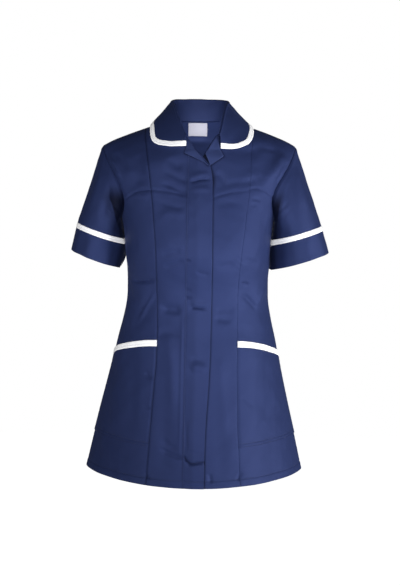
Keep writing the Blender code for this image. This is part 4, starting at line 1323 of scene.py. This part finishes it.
def makeCuff(side, angles, rings, spots):
    points = rings(spots)
    wave = waves(points, "cuff")
    for fold in rowsOf(sleeves["cuffFolds"]):
        wave = wave + fold["height"] * bell(angles - fold["angle"], fold["width"])
    wave = wave * sleeves[side]["cuffCreased"] * smoothStep((spots[:, None] - spots[0]) / sleeves["foldFade"])
    points = points + ringNormals(points) * wave[..., None]
    # painted shade on the cuff's inner side, beside the body
    dark = smoothStep((angles - sleeves["darkStart"]) / sleeves["startFade"])
    dark = dark * smoothStep((sleeves["darkEnd"] - angles) / sleeves["endFade"])
    cloth("cuff_" + side, points, ringNormals(points), -halfWall, halfWall + sleeves["cuffProud"], navyCloth,
          closed=True, softEdges=("bottom",), marks=sleeves["cuffPaintedShade"] * dark)


def makeSleeves():
    gap = form["seamGap"]
    total = sleeves["binding"] + sleeves["cuff"]
    for side in ("right", "left"):
        sleeve = sleeves[side]
        loop, angles = armholeLoop(sleeve["sign"])
        band = sleeveRing(sleeve["sign"], angles, sleeve["band"], sleeves["depth"])
        end = sleeveRing(sleeve["sign"], angles, sleeve["end"], sleeves["cuffDepth"])
        makeSleeve(side, sleeve, loop, angles, band)

        def rings(spots):
            return np.array([clearOfBody(band + (end - band) * spot / total) for spot in spots])

        points = rings(gap + (sleeves["binding"] - gap) * tape["rows"])
        t = tape["rows"][:, None]
        outer = halfWall + crowned(t, sleeves["bindingProud"], 0.5)
        bind("sleeve", "_" + side, points, ringNormals(points), -halfWall, outer, t, closed=True)
        spots = np.linspace(sleeves["binding"] + gap, total - rowSteps["aboveHem"], 22)
        makeCuff(side, angles, rings, np.append(spots, total))


makeSleeves()
print("sleeves made")


# collar

collar = {
    "wall": 0.0016,
    "bindingWall": 0.0022,
    "binding": 0.010,
    "lift": 0.0036,
    "foldWidth": 0.0042,
    "foldHeight": 0.0028,
    "fullness": 0.0005,
    "seamLift": 0.0016,
    "lean": 0.25,  # how far its edge leans out over the shoulder
    "neckFade": 0.02,  # it is even where it is sewn to the neck
    "crown": 0.4,
    "unsewn": 60,  # stations at each end with no sewing on the stand
    # painted shade on the inside of the stand
    "insidePaintedShade": 0.30,
    # from the front end, at 0, to the middle of the back, at 1; angles go round the shoulder line
    "right": columns(
        "station neckX neckAngle foldX foldY foldZ edgeX edgeAngle",
        (0.00, 0.0225, 61.0, 0.0245, -0.0750, -0.0170, 0.0245, 73.0),
        (0.10, 0.0320, 58.5, 0.0275, -0.0675, -0.0110, 0.0360, 71.6),
        (0.20, 0.0410, 53.0, 0.0325, -0.0575, -0.0010, 0.0520, 67.7),
        (0.30, 0.0490, 44.0, 0.0378, -0.0455, 0.0105, 0.0670, 61.5),
        (0.40, 0.0550, 33.0, 0.0420, -0.0320, 0.0210, 0.0815, 54.5),
        (0.50, 0.0600, 22.0, 0.0465, -0.0120, 0.0325, 0.0915, 45.0),
        (0.57, 0.0618, 12.0, 0.0485, 0.0010, 0.0360, 0.0948, 32.0),
        (0.64, 0.0625, 0.0, 0.0508, 0.0140, 0.0380, 0.0957, 12.0),
        (0.75, 0.0580, -19.0, 0.0532, 0.0340, 0.0405, 0.0910, -18.0),
        (0.88, 0.0350, -39.5, 0.0400, 0.0620, 0.0410, 0.0550, -50.0),
        (0.94, 0.0180, -43.8, 0.0205, 0.0700, 0.0410, 0.0285, -56.4),
        (1.00, 0.0000, -45.0, 0.0000, 0.0720, 0.0410, 0.0000, -58.0)),
    "left": columns(
        "station neckX neckAngle foldX foldY foldZ edgeX edgeAngle",
        (0.00, 0.0385, 56.0, 0.0385, -0.0710, -0.0130, 0.0422, 73.5),
        (0.10, 0.0440, 51.0, 0.0402, -0.0635, -0.0060, 0.0560, 69.5),
        (0.20, 0.0490, 45.0, 0.0424, -0.0535, 0.0035, 0.0700, 64.5),
        (0.30, 0.0530, 38.0, 0.0445, -0.0420, 0.0130, 0.0845, 57.5),
        (0.40, 0.0565, 31.0, 0.0467, -0.0300, 0.0215, 0.0975, 48.5),
        (0.50, 0.0600, 21.0, 0.0490, -0.0160, 0.0300, 0.1045, 34.0),
        (0.57, 0.0618, 11.0, 0.0508, -0.0030, 0.0360, 0.1058, 21.0),
        (0.64, 0.0625, 0.0, 0.0522, 0.0100, 0.0372, 0.1030, 6.0),
        (0.75, 0.0580, -19.0, 0.0546, 0.0320, 0.0402, 0.0930, -20.0),
        (0.88, 0.0350, -39.5, 0.0410, 0.0620, 0.0410, 0.0550, -50.0),
        (0.94, 0.0180, -43.8, 0.0205, 0.0700, 0.0410, 0.0285, -56.4),
        (1.00, 0.0000, -45.0, 0.0000, 0.0720, 0.0410, 0.0000, -58.0)),
}


def aroundShoulder(x, angle, lift):
    # a place off the shoulder, at an angle round its line
    angle = math.radians(angle)
    z = ridgeHeight(x) - form["shoulderRound"] * (1 - math.cos(angle))
    point = bodyPoint(np.array(x), np.array(z), "front" if angle > 0 else "back")
    outwards = collar["lean"] * math.sin(4 * x)
    return point + unit(np.array([outwards, -math.sin(angle), math.cos(angle)])) * lift


def collarLines(stations):
    # where the collar meets the neck, folds over, and ends
    lines = []
    for s in stations:
        table, sign, at = (collar["right"], -1, s) if s <= 1 else (collar["left"], 1, 2 - s)
        value = {name: float(through(table, "station", name, at)) for name in table}
        lines.append([aroundShoulder(sign * value["neckX"], value["neckAngle"], collar["seamLift"]),
                      np.array([sign * value["foldX"], value["foldY"], value["foldZ"]]),
                      aroundShoulder(sign * value["edgeX"], value["edgeAngle"], collar["lift"])])
    return np.array(lines).swapaxes(0, 1)


def makeCollar():
    stations = np.linspace(0, 2, 221)
    neck, fold, edge = collarLines(stations)
    level = unit((edge - fold) * np.array([1, 1, 0]))
    up = np.array([0, 0, 1.0])
    width, height = collar["foldWidth"], collar["foldHeight"]
    standTop = fold - up * height
    fallTop = fold + level * width - up * height
    rows = [neck + (standTop - neck) * t for t in np.linspace(0, 1, 15)]
    for turn in np.linspace(0, math.pi, 9)[1:-1]:
        rows.append(fold + level * width * (1 - math.cos(turn)) / 2 - up * height * (1 - math.sin(turn)))
    length = lengths(edge - fallTop)
    acrossEdge = lengths(np.cross(unit(edge - fallTop), unit(np.gradient(edge, axis=0))))
    bindingStart = 1 - collar["binding"] / (length * acrossEdge)
    bulge = unit(level + up * 0.8) * collar["fullness"]

    def fall(t):
        return fallTop + (edge - fallTop) * t[:, None] + bulge * np.sin(np.pi * t ** 0.9)[:, None]

    onFall = len(rows)
    rows += [fall(bindingStart * share - share * form["seamGap"] / length) for share in np.linspace(0, 1, 23)]
    last, middle = len(rows), len(stations) // 2
    t = 1 - tape["rows"][::-1, None]
    points = np.array(rows + [fall(bindingStart + (1 - bindingStart) * share) for share in t[:, 0]])
    normals = gridNormals(points, np.zeros(3))
    if normals[last - 1, middle, 1] < 0:
        normals = -normals
    # the fall is a little uneven
    below = np.arange(len(points))[:, None] - onFall
    wave = waves(points, "fall") * smoothStep((below - 2) / 6) + waves(points, "collar")
    fade = smoothStep(lengths(points - points[:1]) / collar["neckFade"])
    points = points + normals * (wave * fade)[..., None]
    wall = collar["wall"] / 2
    # painted shade on the inside of the stand, below the fold
    dark = collar["insidePaintedShade"] * smoothStep((-5 - below[:last]) / 4)
    _, inside = cloth("collar", points[:last], normals[:last], -wall, wall, navyCloth,
                      softEdges=("first", "last"), marks=dark)
    sewn = np.s_[2, collar["unsewn"]:-collar["unsewn"]]
    sew("collar_stand_stitching", inside[sewn], -normals[sewn], navyThread)
    crown = crowned(t, collar["bindingWall"] / 2, collar["crown"])
    bind("collar", "", points[last:], normals[last:], -crown, crown, t, softEdges=("first", "last", "bottom"))


makeCollar()
print("collar made")


# turned-out corners of the facings, and the label

def makeRevers():
    outwards = np.array([0, -1, 0])
    for side, lift in (("right", revers["overFly"]), ("left", revers["overFront"])):
        table = revers[side]
        place = np.arange(len(table["rollX"]))
        spots = np.linspace(0, place[-1], 36)
        rollX, rollZ, freeX, freeZ = (np.interp(spots, place, values)[:, None] for values in table.values())
        down, share = np.linspace(0, 1, 36)[:, None], np.linspace(0, 1, 22)
        points = bodyPoint(rollX + (freeX - rollX) * share, rollZ + (freeZ - rollZ) * share, "front")
        relief = creaseRelief(points[..., 0], points[..., 2], "front") + waves(points, "body")
        # the free corner springs off the front a little
        spring = revers["spring"] * (1 - share) ** 1.2 * np.sin(np.pi * np.clip(down * 0.9 + 0.1, 0, 1))
        points = points + gridNormals(points, outwards) * (relief + spring)[..., None]
        # a painted highlight over the revers, strongest along the roll
        light = revers["light"] + revers["rollLight"] * bell(1 - share, revers["rollWidth"])
        cloth("revers_" + side, points, gridNormals(points, outwards), lift, lift + revers["wall"], navyCloth,
              softEdges=tuple(edgeCuts), marks=-light)


label = {
    "left": -0.022,
    "right": 0.016,
    "top": -0.004,
    "bottom": -0.032,
    "wall": 0.0010,
    "offBack": 0.0016,
    "spring": 0.0010,
}


def makeLabel():
    across, down = np.meshgrid(np.linspace(0, 1, 30), np.linspace(0, 1, 24))
    x = label["left"] + (label["right"] - label["left"]) * across
    points = bodyPoint(x, label["top"] + (label["bottom"] - label["top"]) * down, "back")
    normals = gridNormals(points, np.array([0, 1, 0]))
    spring = label["spring"] * down ** 2 * (0.4 + 0.6 * (2 * across - 1) ** 2)
    cloth("neck_label", points - normals * spring[..., None], normals, -label["offBack"] - label["wall"],
          -label["offBack"], labelCloth, softEdges=("first", "last", "bottom"))


makeRevers()
makeLabel()
print("revers and label made")


# studio

studio = {
    "cameraPlace": (0.0068, -3.21, 0.26),
    "cameraAim": (0.0068, 0.0, -0.338),
    "roll": 0.95,
    "lens": 100.47,
    "floor": -9.0,
    "floorGlow": 0.12,
    "surround": 0.06,
    "middle": (0, 0, -0.33),
    # azimuth, elevation and distance from the tunic's middle, then size in metres and watts
    "boxes": {
        "frontLight": (-4, 13, 7.0, 2.4, 192),
        "sideLight": (62, -18, 6.0, 2.4, 240),
        "farSideLight": (75, 0, 6.0, 2.4, 140),
        "otherSideLight": (-50, -10, 6.0, 2.4, 70),
        "lowLight": (20, -45, 6.0, 2.4, 50),
        "backLight": (180, -11, 6.0, 2.0, 22),
    },
    # azimuth and elevation, where it points, then degrees and watts; the last two light the back and keep off
    # the sleeves, behind which they would shine through
    "beams": {
        "waistLight": (0, -6, (-0.010, -0.1, -0.285), 13, 190),
        "upperBackLight": (180, -12, (0, 0.1, -0.13), 8, 170),
        "lowerBackLight": (180, -18, (0, 0.1, -0.53), 15, 200),
    },
    "beamDistance": 2.6,
    "beamSoftness": 0.25,
    "neckLight": ((0.0, -0.050, -0.040), (0, 0.07, -0.05), 0.17, 0.03),  # its place and aim, watts and size
}


def makeCamera():
    camera = bpy.data.objects.new("camera", bpy.data.cameras.new("camera"))
    bpy.context.scene.collection.objects.link(camera)
    place, aim = Vector(studio["cameraPlace"]), Vector(studio["cameraAim"])
    turn = (aim - place).to_track_quat("-Z", "Y").to_matrix().to_4x4()
    roll = Matrix.Rotation(math.radians(studio["roll"]), 4, "Z")
    camera.matrix_world = Matrix.Translation(place) @ turn @ roll
    camera.data.lens = studio["lens"]
    bpy.context.scene.camera = camera


def addLight(name, kind, place, aim, watts, **settings):
    light = bpy.data.lights.new(name, kind)
    light.energy = watts
    for key, value in settings.items():
        setattr(light, key, value)
    lamp = bpy.data.objects.new(name, light)
    bpy.context.scene.collection.objects.link(lamp)
    lamp.location = place
    lamp.rotation_mode = "QUATERNION"
    lamp.rotation_quaternion = (Vector(aim) - Vector(place)).to_track_quat("-Z", "Y")
    lamp.visible_camera = False


def aroundTunic(azimuth, elevation, distance):
    # a place seen from the tunic's middle: azimuth 0 is straight in front, and more is to the viewer's right
    a, e = math.radians(azimuth), math.radians(elevation)
    way = Vector((math.cos(e) * math.sin(a), -math.cos(e) * math.cos(a), math.sin(e)))
    return Vector(studio["middle"]) + way * distance


def makeStudio():
    bpy.ops.mesh.primitive_plane_add(size=60, location=(0, 0, studio["floor"]))
    floor = bpy.context.object
    floor.name = "studio_floor"
    # the camera sees a white floor and a white surround, which light the tunic only a little
    shade = Shade("floorPaper")
    glow = shade.blend(shade.node("LightPath"), rgb(*[studio["floorGlow"]] * 3), rgb(1, 1, 1))
    paper = shade.finish(Base_Color=rgb(0.9, 0.9, 0.9), Roughness=0.9, Emission_Color=glow,
                         Emission_Strength=1.0)
    floor.data.materials.append(paper)
    world = bpy.data.worlds.new("studioWorld")
    bpy.context.scene.world = world
    shade = Shade(world, "Background")
    seen = shade.node("LightPath")
    shade.finish(Color=rgb(1, 1, 1), Strength=seen * (1 - studio["surround"]) + studio["surround"])
    for name, (azimuth, elevation, distance, size, watts) in studio["boxes"].items():
        addLight(name, "AREA", aroundTunic(azimuth, elevation, distance), studio["middle"], watts, size=size)
    place, aim, watts, size = studio["neckLight"]
    addLight("neckLight", "AREA", place, aim, watts, size=size)
    for name, (azimuth, elevation, aim, degrees, watts) in studio["beams"].items():
        addLight(name, "SPOT", aroundTunic(azimuth, elevation, studio["beamDistance"]), aim, watts,
                 shadow_soft_size=studio["beamSoftness"], spot_blend=1.0, spot_size=math.radians(degrees))
    bpy.context.scene.view_settings.view_transform = "Standard"


makeCamera()
makeStudio()
